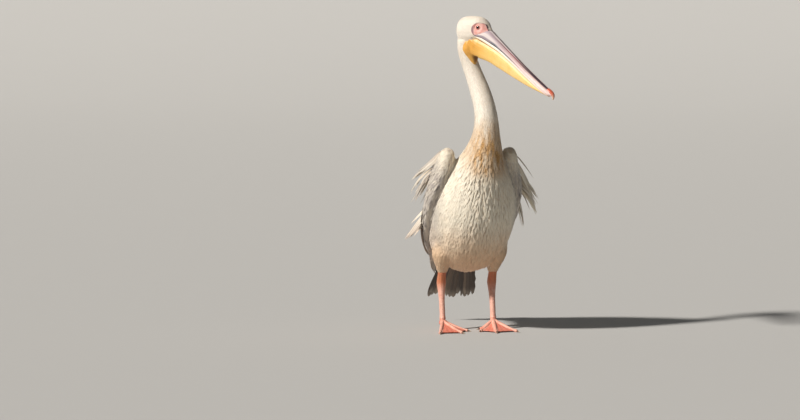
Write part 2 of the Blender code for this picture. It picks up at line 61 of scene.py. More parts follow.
Material = bpy.types.Material
Socket = bpy.types.NodeSocket

PATCH_MAP = "OFBake"
PATCH = 0.003  # how much of the unwrap one tuft covers
MM = 0.001
VANE_EDGE = math.radians(50)
LOG = logging.getLogger("pelican")


class Side(IntEnum):
    """A side of the bird, with the sign of its X."""

    LEFT = 1
    RIGHT = -1

    @property
    def word(self) -> str:
        """The side's name as used in the names of pieces."""
        return self.name.lower()


class Region(IntEnum):
    """A part of the skin, by the solid that it came from."""

    HEAD = 0
    NECK = 1
    TRUNK = 2
    THIGH = 3
    WING = 4


# ---- Small tools: rows of vectors, tables of numbers and smooth random fields.


def unit(rows: Array) -> Array:
    """Each row at length 1."""
    return rows / np.maximum(np.linalg.norm(rows, axis=-1, keepdims=True), 1e-9)


def dots(first: Array, second: Array) -> Array:
    """The scalar product of each row with its partner, kept as a column."""
    return np.sum(first * second, axis=-1, keepdims=True)


def flatten(rows: Array, normals: Array) -> Array:
    """Each row turned into the plane square to its normal, at length 1."""
    return unit(rows - normals * dots(rows, normals))


def ease(values: Array, low: float, high: float) -> Array:
    """A smooth step from 0 at low to 1 at high.

    Args:
        values: Numbers of any shape.
        low: Where the step starts.
        high: Where the step ends; it may lie below low.

    Returns:
        Numbers from 0 to 1 of the same shape.
    """
    share = np.clip((values - low) / (high - low), 0.0, 1.0)
    return share * share * (3 - 2 * share)


def hump(values: Array, middle: float, reach: float) -> Array:
    """A smooth bump of height 1 at middle that dies away within about twice its reach."""
    return np.exp(-(((values - middle) / reach) ** 2))


def table(rows: tuple, places: Array) -> Array:
    """Numbers of a table on a smooth curve through all its rows.

    Args:
        rows: The table, one tuple of numbers to a row.
        places: Where to read it, counted in rows.

    Returns:
        One row of numbers for each place.
    """
    numbers = np.asarray(rows, float)
    last = len(numbers) - 1
    places = np.asarray(places, float)
    first = np.clip(np.floor(places).astype(int), 0, last - 1)
    share = (places - first)[..., None]
    before, start, end, after = (numbers[np.clip(first + step, 0, last)] for step in (-1, 0, 1, 2))
    return 0.5 * (
        2 * start
        + (end - before) * share
        + (2 * before - 5 * start + 4 * end - after) * share**2
        + (3 * start - before - 3 * end + after) * share**3
    )


def ripple(points: Array, pitch: float, seed: int) -> Array:
    """A smooth random field from about -1 to 1, made of a few waves that cross.

    Args:
        points: Where to read it, one row each.
        pitch: The waves' length in metres.
        seed: Which field.

    Returns:
        One number for each point.
    """
    random = np.random.default_rng(seed)
    ways = unit(random.normal(size=(9, 3))) * (2 * math.pi / pitch) * random.uniform(0.7, 1.4, (9, 1))
    phases = random.uniform(0, 2 * math.pi, 9)
    return np.sin(points @ ways.T + phases).sum(-1) / 3.6


def cells(points: Array, pitch: float, seed: int) -> Array:
    """How close each point lies to the wall between two cells of a foam.

    Args:
        points: Where to read it, one row each.
        pitch: The size of a cell in metres.
        seed: Which foam.

    Returns:
        The distance to the wall as a share of the pitch, from 0 on the wall.
    """
    scaled = points / pitch
    home = np.floor(scaled).astype(np.int64)
    nearest = np.full(len(points), 9.0)
    second = np.full(len(points), 9.0)
    for step in np.ndindex(3, 3, 3):
        cell = home + np.array(step) - 1
        mixed = (cell @ np.array([73856093, 19349663, 83492791]) + seed * 2654435761) & 0x7FFFFFFF
        jitter = np.stack([((mixed * prime) >> 7) % 1024 / 1024.0 for prime in (9781, 6271, 7919)], -1)
        apart = np.linalg.norm(cell + jitter - scaled, axis=1)
        second = np.minimum(second, np.maximum(nearest, apart))
        nearest = np.minimum(nearest, apart)
    return second - nearest


def loop(count: int) -> Array:
    """Even angles once round, from 0."""
    return np.linspace(0, 2 * math.pi, count, endpoint=False)


def turn(degrees: float, axis: str) -> Matrix:
    """A turn about an axis through the origin."""
    return Matrix.Rotation(math.radians(degrees), 4, axis)


def sampled(rows: Array, steps: Array, places: Array) -> Array:
    """Rows of numbers that are given at steps, at other places between them."""
    return np.stack([np.interp(places, steps, column) for column in rows.T], 1)


def placed(points: Array, matrix: Matrix) -> Array:
    """Points of a piece's own frame in the shared frame."""
    numbers = np.array(matrix, float)
    return points @ numbers[:3, :3].T + numbers[:3, 3]


def seen_from(points: Array, matrix: Matrix) -> Array:
    """Points of the shared frame in a piece's own frame."""
    return placed(points, matrix.inverted())


def grown(points: list) -> KDTree:
    """Points made ready for a search by distance.

    Args:
        points: The points, in order of their numbers.

    Returns:
        The search tree.
    """
    tree = KDTree(len(points))
    for number, point in enumerate(points):
        tree.insert(point, number)
    tree.balance()
    return tree


def thinned(points: list, apart: list) -> list[int]:
    """The numbers of the points that stay when each one drops its later neighbours.

    Args:
        points: The points in order of their rank.
        apart: How far each one reaches.

    Returns:
        The numbers of those that stay.
    """
    tree, free, kept = grown(points), np.ones(len(points), bool), []
    for number, (point, reach) in enumerate(zip(points, apart)):
        if free[number]:
            kept.append(number)
            for _, other, _ in tree.find_range(point, reach):
                free[other] = False
    return kept


# ---- Meshes.


def shown(name: str, data: bpy.types.ID) -> Object:
    """A new object of the scene.

    Args:
        name: Its name.
        data: Its mesh, lamp or camera.

    Returns:
        The object.
    """
    made = bpy.data.objects.new(name, data)
    bpy.context.scene.collection.objects.link(made)
    return made


@dataclass
class Shell:
    """A mesh as arrays: its points, its faces by their number of corners, and numbers carried by points."""

    points: Array
    faces: list[Array]
    carried: dict[str, Array] = field(default_factory=dict)
    unwrap: list[Array] | None = None

    def triangles(self) -> Array:
        """Every face as triangles, three point numbers to a row."""
        fans = [[group[:, [0, c, c + 1]] for c in range(1, group.shape[1] - 1)] for group in self.faces]
        return np.concatenate(sum(fans, []))

    def tree(self) -> BVHTree:
        """The triangles made ready for a search for the nearest place."""
        return BVHTree.FromPolygons(self.points.tolist(), self.triangles().tolist())

    def normals(self) -> Array:
        """The normal at each point, from the faces around it.

        Returns:
            One row for each point.
        """
        found = np.zeros_like(self.points)
        for group in self.faces:
            corners = self.points[group]
            square = np.cross(corners[:, 2] - corners[:, 0], corners[:, -1] - corners[:, 1])
            if group.shape[1] == 3:
                square = np.cross(corners[:, 1] - corners[:, 0], corners[:, 2] - corners[:, 0])
            for corner in range(group.shape[1]):
                for axis in range(3):
                    found[:, axis] += np.bincount(group[:, corner], square[:, axis], len(found))
        return unit(found)

    def relax(self, rounds: int, weight: Array | float = 1.0, keep_volume: bool = True) -> None:
        """Evens out the points.

        Args:
            rounds: How many times.
            weight: How far each point joins in, from 0 to 1.
            keep_volume: Whether every second round pushes back outwards, so that nothing shrinks.
        """
        first = np.concatenate([group.T.ravel() for group in self.faces])
        second = np.concatenate([np.roll(group, -1, 1).T.ravel() for group in self.faces])
        count = len(self.points)
        degree = np.maximum(np.bincount(first, minlength=count) + np.bincount(second, minlength=count), 1)
        weight = np.broadcast_to(np.asarray(weight, float), (count,))[:, None]
        for step in range(rounds):
            total = [
                np.bincount(first, column[second], count) + np.bincount(second, column[first], count)
                for column in self.points.T
            ]
            pull = -0.52 if keep_volume and step % 2 else 0.5
            self.points = self.points + weight * pull * (np.stack(total, 1) / degree[:, None] - self.points)

    def made(self, name: str) -> Object:
        """The shell as an object with smooth faces and what its points carry.

        Args:
            name: The object's name.

        Returns:
            The object.
        """
        mesh = bpy.data.meshes.new(name)
        mesh.vertices.add(len(self.points))
        mesh.vertices.foreach_set("co", self.points.astype(np.float32).ravel())
        corners = np.concatenate([group.ravel() for group in self.faces]).astype(np.int32)
        totals = np.repeat([group.shape[1] for group in self.faces], [len(group) for group in self.faces])
        mesh.loops.add(len(corners))
        mesh.loops.foreach_set("vertex_index", corners)
        mesh.polygons.add(len(totals))
        mesh.polygons.foreach_set("loop_start", (np.cumsum(totals) - totals).astype(np.int32))
        mesh.update(calc_edges=True)
        for title, values in self.carried.items():
            kind, key = ("FLOAT", "value") if values.ndim == 1 else ("FLOAT_VECTOR", "vector")
            mesh.attributes.new(title, kind, "POINT").data.foreach_set(key, values.astype(np.float32).ravel())
        if self.unwrap is not None:
            layer = mesh.uv_layers.new(name=PATCH_MAP)
            flat = np.concatenate([group.reshape(-1, 2) for group in self.unwrap]).astype(np.float32)
            layer.data.foreach_set("uv", flat.ravel())
        mesh.shade_smooth()
        return shown(name, mesh)


def read(mesh: bpy.types.Mesh) -> Shell:
    """The arrays of a mesh whose faces have three or four corners, or more corners in a few.

    Args:
        mesh: The mesh.

    Returns:
        Its shell.
    """
    points = np.empty(len(mesh.vertices) * 3, np.float32)
    mesh.vertices.foreach_get("co", points)
    corners = np.empty(len(mesh.loops), np.int32)
    mesh.loops.foreach_get("vertex_index", corners)
    starts, totals = np.empty(len(mesh.polygons), np.int32), np.empty(len(mesh.polygons), np.int32)
    mesh.polygons.foreach_get("loop_start", starts)
    mesh.polygons.foreach_get("loop_total", totals)
    faces = [corners[starts[totals == total][:, None] + np.arange(total)] for total in np.unique(totals)]
    return Shell(points.reshape(-1, 3).astype(float), faces)


def joined(shells: list[Shell]) -> Shell:
    """Several shells as one.

    Args:
        shells: The shells, whose points are numbered on in their order.

    Returns:
        One shell, with nothing carried.
    """
    points, faces, start = [], [], 0
    for shell in shells:
        points.append(shell.points)
        faces += [group + start for group in shell.faces]
        start += len(shell.points)
    return Shell(np.concatenate(points), faces)


def melted(shells: list[Shell], voxel: float) -> Shell:
    """Touching or overlapping closed shells as one closed skin of small even faces.

    Args:
        shells: The shells to melt together.
        voxel: The size of a face in metres.

    Returns:
        The skin.
    """
    source = joined(shells).made("melting")
    remesh = source.modifiers.new("skin", "REMESH")
    remesh.mode = "VOXEL"
    remesh.voxel_size = voxel
    bpy.context.view_layer.update()
    found = source.evaluated_get(bpy.context.evaluated_depsgraph_get())
    shell = read(found.to_mesh())
    found.to_mesh_clear()
    bpy.data.meshes.remove(source.data)
    return shell


def freed(shape: bmesh.types.BMesh) -> Shell:
    """The arrays of a mesh in work, which is given up.

    Args:
        shape: The mesh in work.

    Returns:
        Its shell.
    """
    mesh = bpy.data.meshes.new("freed")
    shape.to_mesh(mesh)
    shape.free()
    shell = read(mesh)
    bpy.data.meshes.remove(mesh)
    return shell


def node_shell(name: str) -> Shell:
    """A solid of the model as arrays, its doubled points welded.

    Args:
        name: The solid's name.

    Returns:
        Its shell.
    """
    shape = bmesh.new()
    shape.from_mesh(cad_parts[name].data)
    bmesh.ops.remove_doubles(shape, verts=shape.verts, dist=1e-6)
    return freed(shape)


def tube(rings: Array, closed_ends: bool = True) -> Shell:
    """A skin through rings of points.

    Args:
        rings: The points, by ring, corner and axis.
        closed_ends: Whether both ends get a fan to their middle.

    Returns:
        The skin, with its faces outward where the corners run anticlockwise seen from the far end.
    """
    count, corners = rings.shape[:2]
    numbers = np.arange(count * corners).reshape(count, corners)
    near, far = numbers[:-1], numbers[1:]
    quads = np.stack([near, np.roll(near, -1, 1), np.roll(far, -1, 1), far], -1).reshape(-1, 4)
    points, faces = rings.reshape(-1, 3), [quads]
    if closed_ends:
        total = len(points)
        points = np.concatenate([points, rings[:1].mean(1), rings[-1:].mean(1)])
        first, last = numbers[0], numbers[-1]
        faces.append(np.stack([np.roll(first, -1), first, np.full(corners, total)], -1))
        faces.append(np.stack([last, np.roll(last, -1), np.full(corners, total + 1)], -1))
    return Shell(points, faces)


def ball(centre: Vector, sizes: tuple[float, float, float], rings: int = 24) -> Shell:
    """An ellipsoid of given half sizes.

    Args:
        centre: Its middle.
        sizes: Half its size on each axis.
        rings: How many rings of points from pole to pole.

    Returns:
        The ellipsoid, its poles on the Z axis.
    """
    tilt = np.linspace(-math.pi / 2, math.pi / 2, rings + 2)[1:-1]
    spin = loop(rings * 2)
    wide, high = np.cos(tilt)[:, None], np.broadcast_to(np.sin(tilt)[:, None], (rings, rings * 2))
    unit_rings = np.stack([wide * np.cos(spin), wide * np.sin(spin), high], -1)
    return tube(unit_rings * np.array(sizes) + np.array(centre))


def squared(spin: Array, power: Array | float, flatter: Array | float) -> tuple[Array, Array]:
    """Places round a loop between a circle and a box, across and up; a lower power is nearer to the box."""
    out, up = np.cos(spin), np.sin(spin)
    return np.sign(out) * np.abs(out) ** power, np.sign(up) * np.abs(up) ** flatter


def swept(line: Array, side: Array, up: Array, out: Array, rise: Array) -> Array:
    """Rings of points round a line.

    Args:
        line: The line's points.
        side: The way across at each.
        up: The way up at each.
        out: How far across each point of each ring lies.
        rise: How far up.

    Returns:
        The points, by ring, corner and axis.
    """
    return line[:, None] + side[:, None] * out[..., None] + up[:, None] * rise[..., None]


def horned(
    rings: Array, share: Array, across: Array, height: Array, end: float = 1.0, flip: bool = False
) -> Shell:
    """A skin through rings whose points carry their place on a horn.

    Args:
        rings: The points, by ring, corner and axis.
        share: How far along each ring lies.
        across: How far across each corner lies.
        height: How high.
        end: How far along the last end lies.
        flip: Whether the faces have to be turned over to look outward.

    Returns:
        The skin.
    """
    shell = tube(rings)
    rows = [np.repeat(share, rings.shape[1]), np.tile(across, len(rings)), np.tile(height, len(rings))]
    shell.carried["horn"] = np.concatenate([np.stack(rows, 1), [[0, 0, 0], [end, 0, 0]]])
    if flip:
        shell.faces = [group[:, ::-1] for group in shell.faces]
    return shell


# ---- Finishes.


def colour(code: str) -> tuple[float, float, float, float]:
    """An sRGB hex code such as "F2E6D8" as linear red, green, blue and alpha.

    Args:
        code: The hex code.

    Returns:
        The linear colour.
    """
    parts = [int(code[start : start + 2], 16) / 255 for start in (0, 2, 4)]
    linear = [part / 12.92 if part <= 0.04045 else ((part + 0.055) / 1.055) ** 2.4 for part in parts]
    return (*linear, 1.0)


class Paint:
    """A material while it is built: its node tree, its shader and the place in space that patterns follow."""

    def __init__(self, name: str) -> None:
        """Starts an empty material.

        Args:
            name: Its name.
        """
        self.material = bpy.data.materials.new(name)
        self.material.use_nodes = True
        self.tree = self.material.node_tree
        self.shader = self.tree.nodes["Principled BSDF"]
        self.place = self.node("NewGeometry")

    def node(self, kind: str, links: dict | None = None, out: int = 0, **settings: object) -> Socket:
        """Adds one node with its settings and what goes into its sockets.

        Args:
            kind: The node's type, without "ShaderNode".
            links: A socket to link or a value to set, by the input's name or number.
            out: Which output is wanted.
            settings: Properties of the node.

        Returns:
            The wanted output.
        """
        made = self.tree.nodes.new("ShaderNode" + kind)
        for name, value in settings.items():
            setattr(made, name, value)
        for key, value in (links or {}).items():
            if isinstance(value, Socket):
                self.tree.links.new(value, made.inputs[key])
            else:
                made.inputs[key].default_value = value
        return made.outputs[out]

    def carried(self, *names: str) -> list[Socket]:
        """The three numbers that the mesh's points carry under each name, one name after another.

        Args:
            names: The names that the mesh carries them under.

        Returns:
            The sockets, three for each name.
        """
        found = []
        for name in names:
            vector = self.node("Attribute", out=1, attribute_name=name)
            found += self.node("SeparateXYZ", {0: vector}).node.outputs[:]
        return found

    def share(self, strength: Socket | float, *factors: tuple) -> Socket | float:
        """A strength times some factors.

        Args:
            strength: A number or a socket.
            factors: Each a socket alone, or a socket with the numbers where its smooth step is 0 and 1.

        Returns:
            The product, from 0 to 1.
        """
        for source, *ends in factors:
            if ends:
                step = {"Value": source, "From Min": ends[0], "From Max": ends[1]}
                source = self.node("MapRange", step, interpolation_type="SMOOTHSTEP")
            strength = self.node("Math", {0: source, 1: strength}, operation="MULTIPLY")
        return strength

    def over(self, base: Socket | str, *layers: tuple) -> Socket:
        """Lays colours over one another.

        Args:
            base: The lowest colour, as an sRGB hex code or a socket.
            layers: Each a colour, then what share() takes.

        Returns:
            The blended colour.
        """
        base = colour(base) if isinstance(base, str) else base
        for upper, *share in layers:
            upper = colour(upper) if isinstance(upper, str) else upper
            base = self.node("Mix", {0: self.share(*share), 6: base, 7: upper}, 2, data_type="RGBA")
        return base

    def done(self, base: Socket, constants: dict, relief: tuple | None = None) -> Material:
        """Finishes the material.

        Args:
            base: Its colour.
            constants: The shader's other inputs by name.
            relief: A height from 0 to 1, how strongly it shows and its size in metres.

        Returns:
            The material.
        """
        self.tree.links.new(base, self.shader.inputs["Base Color"])
        if relief:
            height, strength, size = relief
            bump = self.node("Bump", {"Strength": strength, "Distance": size, "Height": height})
            self.tree.links.new(bump, self.shader.inputs["Normal"])
        for name, value in constants.items():
            self.shader.inputs[name].default_value = value
        return self.material


# Light passes furthest through living skin at its red end, some millimetres.
FLESH = {"Subsurface Radius": (0.004, 0.0015, 0.0008), "Subsurface Scale": 1.0}
TAUT = {"Subsurface Radius": (0.006, 0.003, 0.001), "Subsurface Scale": 1.0}


@dataclass(frozen=True)
class Plumage:
    """Keratin feathers: matt, faintly oily, so that light spreads softly and the edges glow a little.

    The real barbs stand 0.5 mm apart. Lines that fine would not show at this size, so that they are drawn
    about four times as coarse.
    """

    name: str
    white: str = "F8F1E4"
    cream: str = "F4E9C9"
    # darker at each feather's root: painted shade where the feathers overlap
    root: str = "E6D1BA"
    ochre: str = "DDAE6C"
    dusk: str = "B48650"
    blush: str = "ECD3B6"
    # warm tan low on the body: partly the plumage's own tone, partly painted warm shade
    tan: str = "DDB68E"
    # silver grey, darkened to stand partly for painted shade on the wings and flanks
    silver: str = "9F9793"
    black: str = "2B2524"
    faded: str = "C4B6A6"
    gap: str = "8E7F74"  # between two barbs
    roughness: float = 0.62
    relief: float = 0.12
    barbs: float = 12.0  # how many barbs are drawn along a feather, times six
    worn: float = 0.0  # how far the ends have faded

    def material(self) -> Material:
        """Builds the finish. Points carry marks (ochre, silver grey and painted shade, black) and vane
        (along, across, tone).

        Returns:
            The material.
        """
        paint = Paint(self.name)
        ochre, silver, black, along, across, tone = paint.carried("marks", "vane")
        soft = {"Vector": paint.place, "Scale": 14.0, "Detail": 3.0, "Roughness": 0.6}
        cloud = paint.node("TexNoise", soft)
        grain = paint.node("TexNoise", {"Vector": paint.place, "Scale": 260.0, "Detail": 2.0})
        height = paint.node("SeparateXYZ", {0: paint.place}, 2)
        low = paint.node("Math", {0: cloud, 1: 0.10, 2: height}, operation="MULTIPLY_ADD")
        base = paint.over(
            self.root,
            # white from the root outwards: the darker root colour is painted shade between overlapping
            # feathers
            (self.white, 1.0, (along, 0.0, 0.75)),
            (self.blush, 0.35, (cloud, 0.48, 0.80)),
            (self.cream, 0.32, (low, 0.84, 0.66)),
            # tan lower down: partly the plumage's own tone, partly painted warm shade
            (self.tan, 0.85, (low, 0.46, 0.29)),
            (paint.over(self.dusk, (self.ochre, 1.0, (grain, 0.3, 0.7))), ochre),
            (self.silver, silver),
            (self.black, black),
            (self.faded, self.worn, (along, 0.84, 1.0)),
        )
        lighter = paint.node("Math", {0: tone, 1: 0.16, 2: 0.90}, operation="MULTIPLY_ADD")
        light = paint.node("CombineXYZ", {axis: lighter for axis in range(3)})
        base = paint.node("Mix", {0: 1.0, 6: base, 7: light}, 2, data_type="RGBA", blend_type="MULTIPLY")
        out = paint.node("Math", {0: across}, operation="ABSOLUTE")
        far = paint.node("Math", {0: along, 1: 9.0}, operation="MULTIPLY")
        slant = paint.node("Math", {0: out, 1: -2.0, 2: far}, operation="MULTIPLY_ADD")
        phase = paint.node("Math", {0: slant, 1: self.barbs}, operation="MULTIPLY")
        barbs = paint.node("Math", {0: phase}, operation="SINE")
        between = paint.node("Math", {0: barbs, 1: 0.05, 2: 0.05}, operation="MULTIPLY_ADD")
        gloss = {"Roughness": self.roughness, "IOR": 1.54, "Specular IOR Level": 0.3}
        glow = {"Sheen Weight": 0.12, "Sheen Roughness": 0.5}
        return paint.done(paint.over(base, (self.gap, between)), gloss | glow, (barbs, self.relief, 0.0006))


@dataclass(frozen=True)
class Hide:
    """The bird's own skin: matt under the feathers, bare, pink and finely pebbled on the face."""

    name: str = "hide"
    under: str = "EFE4D5"
    ochre: str = "C79D63"
    silver: str = "8D8A92"
    black: str = "2A282D"
    face: str = "E9A69C"
    fair: str = "F2C3B8"
    rim: str = "8F7078"
    lid: str = "C47A70"
    gape: str = "F3DDB2"
    # a dark line under the forehead's feathers: painted shadow
    brow: str = "35222B"

    def material(self) -> Material:
        """Builds the finish. Points carry marks (ochre, silver grey and painted shade, black) and face (bare,
        rim, lid).

        Returns:
            The material.
        """
        paint = Paint(self.name)
        ochre, silver, black, bare, rim, lid = paint.carried("marks", "face")
        pebbles = paint.node("TexVoronoi", {"Vector": paint.place, "Scale": 700.0}, feature="SMOOTH_F1")
        blotch = paint.node("TexNoise", {"Vector": paint.place, "Scale": 95.0, "Detail": 3.0})
        pink = paint.over(
            self.face,
            (self.fair, 1.0, (blotch, 0.35, 0.7)),
            (self.rim, rim),
            (self.lid, lid),
            (self.gape, ochre),
            # black on the face is painted shadow under the brow and painted shade in the gape's creases
            (self.brow, black),
        )
        marks = (self.ochre, ochre), (self.silver, silver), (self.black, black)
        base = paint.over(self.under, *marks, (pink, bare))
        gloss = {"Roughness": 0.5, "IOR": 1.42, "Subsurface Weight": 0.08}
        return paint.done(base, gloss | FLESH, (pebbles, 0.35, 0.0005))


@dataclass(frozen=True)
class PouchSkin:
    """Thin stretched skin over fine vessels: a soft gloss, with light passing a little way through it."""

    name: str = "pouch_skin"
    gold: str = "F1C470"
    pale: str = "F5CF88"
    deep: str = "DDA54E"
    blotch: str = "ECB65C"
    # dark brown: painted shade in the folds' hollows, the throat's pocket and the upper rear seam
    fold: str = "5E2A14"
    seam: str = "F4DDB4"
    vein: str = "D08038"

    def material(self) -> Material:
        """Builds the finish. Points carry bag (along, down, painted shade in the folds, the throat's pocket
        and the upper rear seam).

        Returns:
            The material.
        """
        paint = Paint(self.name)
        along, down, fold = paint.carried("bag")
        blotch = paint.node("TexNoise", {"Vector": paint.place, "Scale": 55.0, "Detail": 4.0})
        vessels = paint.node("TexNoise", {"Vector": paint.place, "Scale": 210.0, "Detail": 3.0})
        base = paint.over(
            self.gold,
            (self.pale, 1.0, (along, 0.02, 0.5)),
            (self.deep, 1.0, (along, 0.16, -0.06)),
            (self.blotch, 0.5, (blotch, 0.45, 0.8)),
            # dark brown where the bag carries painted shade: the folds' hollows, the throat's pocket and the
            # upper rear seam
            (self.fold, 0.8, (fold,)),
            (self.seam, 1.0, (down, 0.25, 0.02)),
            (self.vein, 0.16, (vessels, 0.60, 0.72)),
        )
        gloss = {"Roughness": 0.42, "IOR": 1.42, "Subsurface Weight": 0.15}
        return paint.done(base, gloss | TAUT, (vessels, 0.3, 0.0005))


@dataclass(frozen=True)
class BillHorn:
    """Worn horn: a hard satin surface with long growth lines, so that it shines in streaks along the bill."""

    name: str
    root: str = "AE9CA2"
    middle: str = "CFB2AF"
    pale: str = "EFD3CB"
    growth: str = "A8949A"
    chalk: str = "F0EADC"
    ridge: str = "DACDCB"
    umber: str = "9A8583"
    # near black along the ridge's middle and the distal top: painted shade of the bill's far side
    plum: str = "473A43"
    groove: str = "8A6263"
    wine: str = "A23F50"
    dark_wine: str = "57333D"
    slate: str = "84777F"
    edge: str = "4A4F59"

    def material(self) -> Material:
        """Builds the finish. Points carry horn (along, across, height).

        Returns:
            The material.
        """
        paint = Paint(self.name)
        along, across, height = paint.carried("horn")
        out = paint.node("Math", {0: across}, operation="ABSOLUTE")
        far = paint.node("Math", {0: along, 1: 3.0}, operation="MULTIPLY")
        streak = paint.node("CombineXYZ", {0: far, 1: across, 2: height})
        lines = paint.node("TexNoise", {"Vector": streak, "Scale": 9.0, "Detail": 4.0})
        # the top darkens to umber and then near black towards the tip and down the ridge's middle: painted
        # shade of the bill's far side
        top = paint.over(
            self.ridge,
            (self.umber, 1.0, (along, 0.30, 0.52)),
            (self.plum, 1.0, (along, 0.48, 0.72)),
            (self.plum, 0.75, (out, 0.10, 0.06)),
        )
        wine = paint.over(self.groove, (self.wine, 1.0, (along, 0.22, 0.34)))
        wine = paint.over(wine, (self.dark_wine, 1.0, (along, 0.44, 0.58)))
        slate = paint.over(self.slate, (self.edge, 1.0, (along, 0.06, 0.16)))
        broad = paint.share(1.0, (out, 0.85, 0.90), (along, 0.25, 0.15))
        thin = paint.share(1.0, (out, 0.89, 0.95), (along, 0.56, 0.36))
        base = paint.over(
            self.root,
            (self.middle, 1.0, (along, 0.08, 0.42)),
            (self.pale, 1.0, (along, 0.42, 0.86)),
            (self.growth, 0.55, (lines, 0.42, 0.75)),
            (self.chalk, 0.35, (out, 0.58, 0.72), (along, 0.26, 0.08)),
            (top, 1.0, (out, 0.36, 0.22)),
            (wine, 1.0, (out, 0.24, 0.30), (out, 0.44, 0.36), (along, 0.04, 0.26), (along, 1.0, 0.85)),
            (slate, paint.node("Math", {0: broad, 1: thin}, operation="MAXIMUM")),
        )
        gloss = {"Roughness": 0.52, "IOR": 1.55, "Specular IOR Level": 0.35}
        return paint.done(base, gloss, (lines, 0.25, 0.0006))


@dataclass(frozen=True)
class RimHorn:
    """The lower mandible's horn: pale, smooth and satin, greyish at its root and pink further out."""

    name: str = "rim_horn"
    root: str = "F4ECDC"
    tip: str = "F2D6CA"
    streak: str = "BFA9A6"
    under: str = "E7B766"

    def material(self) -> Material:
        """Builds the finish. Points carry horn (along, across, height).

        Returns:
            The material.
        """
        paint = Paint(self.name)
        along, across, height = paint.carried("horn")
        far = paint.node("Math", {0: along, 1: 4.0}, operation="MULTIPLY")
        streak = paint.node("CombineXYZ", {0: far, 1: across, 2: height})
        lines = paint.node("TexNoise", {"Vector": streak, "Scale": 7.0, "Detail": 3.0})
        base = paint.over(
            self.root,
            (self.tip, 1.0, (along, 0.15, 0.7)),
            (self.streak, 1.0, (lines, 0.5, 0.8)),
            (self.under, 1.0, (height, -0.2, -0.9)),
        )
        return paint.done(base, {"Roughness": 0.4, "IOR": 1.55}, (lines, 0.2, 0.0005))


@dataclass(frozen=True)
class HookHorn:
    """A nail of harder, polished horn, stained from its root to its tip, or one plain tone for the claws."""

    name: str
    root: str
    tip: str
    roughness: float = 0.3

    def material(self) -> Material:
        """Builds the finish. Points carry horn (along, across, height).

        Returns:
            The material.
        """
        paint = Paint(self.name)
        along = paint.carried("horn")[0]
        lines = paint.node("TexNoise", {"Vector": paint.place, "Scale": 420.0, "Detail": 2.0})
        base = paint.over(self.root, (self.tip, 1.0, (along, 0.35, 0.95)))
        return paint.done(base, {"Roughness": self.roughness, "IOR": 1.55}, (lines, 0.15, 0.0004))


@dataclass(frozen=True)
class LegSkin:
    """Scaled skin with a waxy bloom: a broad dull shine broken by the seams between the scales."""

    name: str = "leg_skin"
    # darker orange-brown at the top of the leg: partly its own colour, partly painted shade under the belly
    thigh: str = "C77E58"
    shank: str = "E9B9A6"
    toe: str = "F0B6A2"
    web: str = "E28570"
    flush: str = "C4654C"
    seam: str = "94503E"

    def material(self) -> Material:
        """Builds the finish. Points carry leg (height, web, seam).

        Returns:
            The material.
        """
        paint = Paint(self.name)
        height, web, seam = paint.carried("leg")
        blotch = paint.node("TexNoise", {"Vector": paint.place, "Scale": 48.0, "Detail": 4.0})
        scaled = {"Vector": paint.place, "Scale": 520.0}
        pebbles = paint.node("TexVoronoi", scaled, feature="DISTANCE_TO_EDGE")
        base = paint.over(
            self.toe,
            (self.shank, 1.0, (height, 0.035, 0.07)),
            # the top of the leg darker orange-brown: partly its own colour, partly painted shade under the
            # belly
            (self.thigh, 1.0, (height, 0.130, 0.175)),
            (self.web, web),
            (self.flush, 0.45, (blotch, 0.42, 0.8)),
            (self.seam, 0.45, (seam,)),
        )
        gloss = {"Roughness": 0.46, "IOR": 1.45, "Subsurface Weight": 0.06}
        return paint.done(base, gloss | FLESH, (pebbles, 0.4, 0.0005))


@dataclass(frozen=True)
class EyeGloss:
    """A wet cornea over a dark red-brown iris: one sharp small highlight on near black."""

    name: str = "eye_gloss"
    iris: str = "2E0E0A"
    ray: str = "4E1C12"
    pupil: str = "050404"
    rim: str = "2A1512"

    def material(self) -> Material:
        """Builds the finish. Points carry gaze (angle, 0, 0), the angle from the pupil in quarter turns.

        Returns:
            The material.
        """
        paint = Paint(self.name)
        angle = paint.carried("gaze")[0]
        rays = paint.node("TexNoise", {"Vector": paint.place, "Scale": 900.0, "Detail": 2.0})
        iris = paint.over(self.iris, (self.ray, rays))
        base = paint.over(self.pupil, (iris, 1.0, (angle, 0.23, 0.27)), (self.rim, 1.0, (angle, 0.42, 0.50)))
        return paint.done(base, {"Roughness": 0.12, "IOR": 1.38, "Coat Weight": 1.0, "Coat Roughness": 0.03})


@dataclass(frozen=True)
class Paper:
    """A pale matt studio floor, with no gloss to mirror the bird."""

    name: str = "paper"
    tone: str = "BCBCBA"
    fibre: str = "B3B2B0"

    def material(self) -> Material:
        """Builds the finish.

        Returns:
            The material.
        """
        paint = Paint(self.name)
        fibre = paint.node("TexNoise", {"Vector": paint.place, "Scale": 3.0, "Detail": 2.0})
        base = paint.over(self.tone, (self.fibre, 0.06, (fibre,)))
        return paint.done(base, {"Roughness": 0.9, "Specular IOR Level": 0.2})


# ---- The bird's frames and lines.


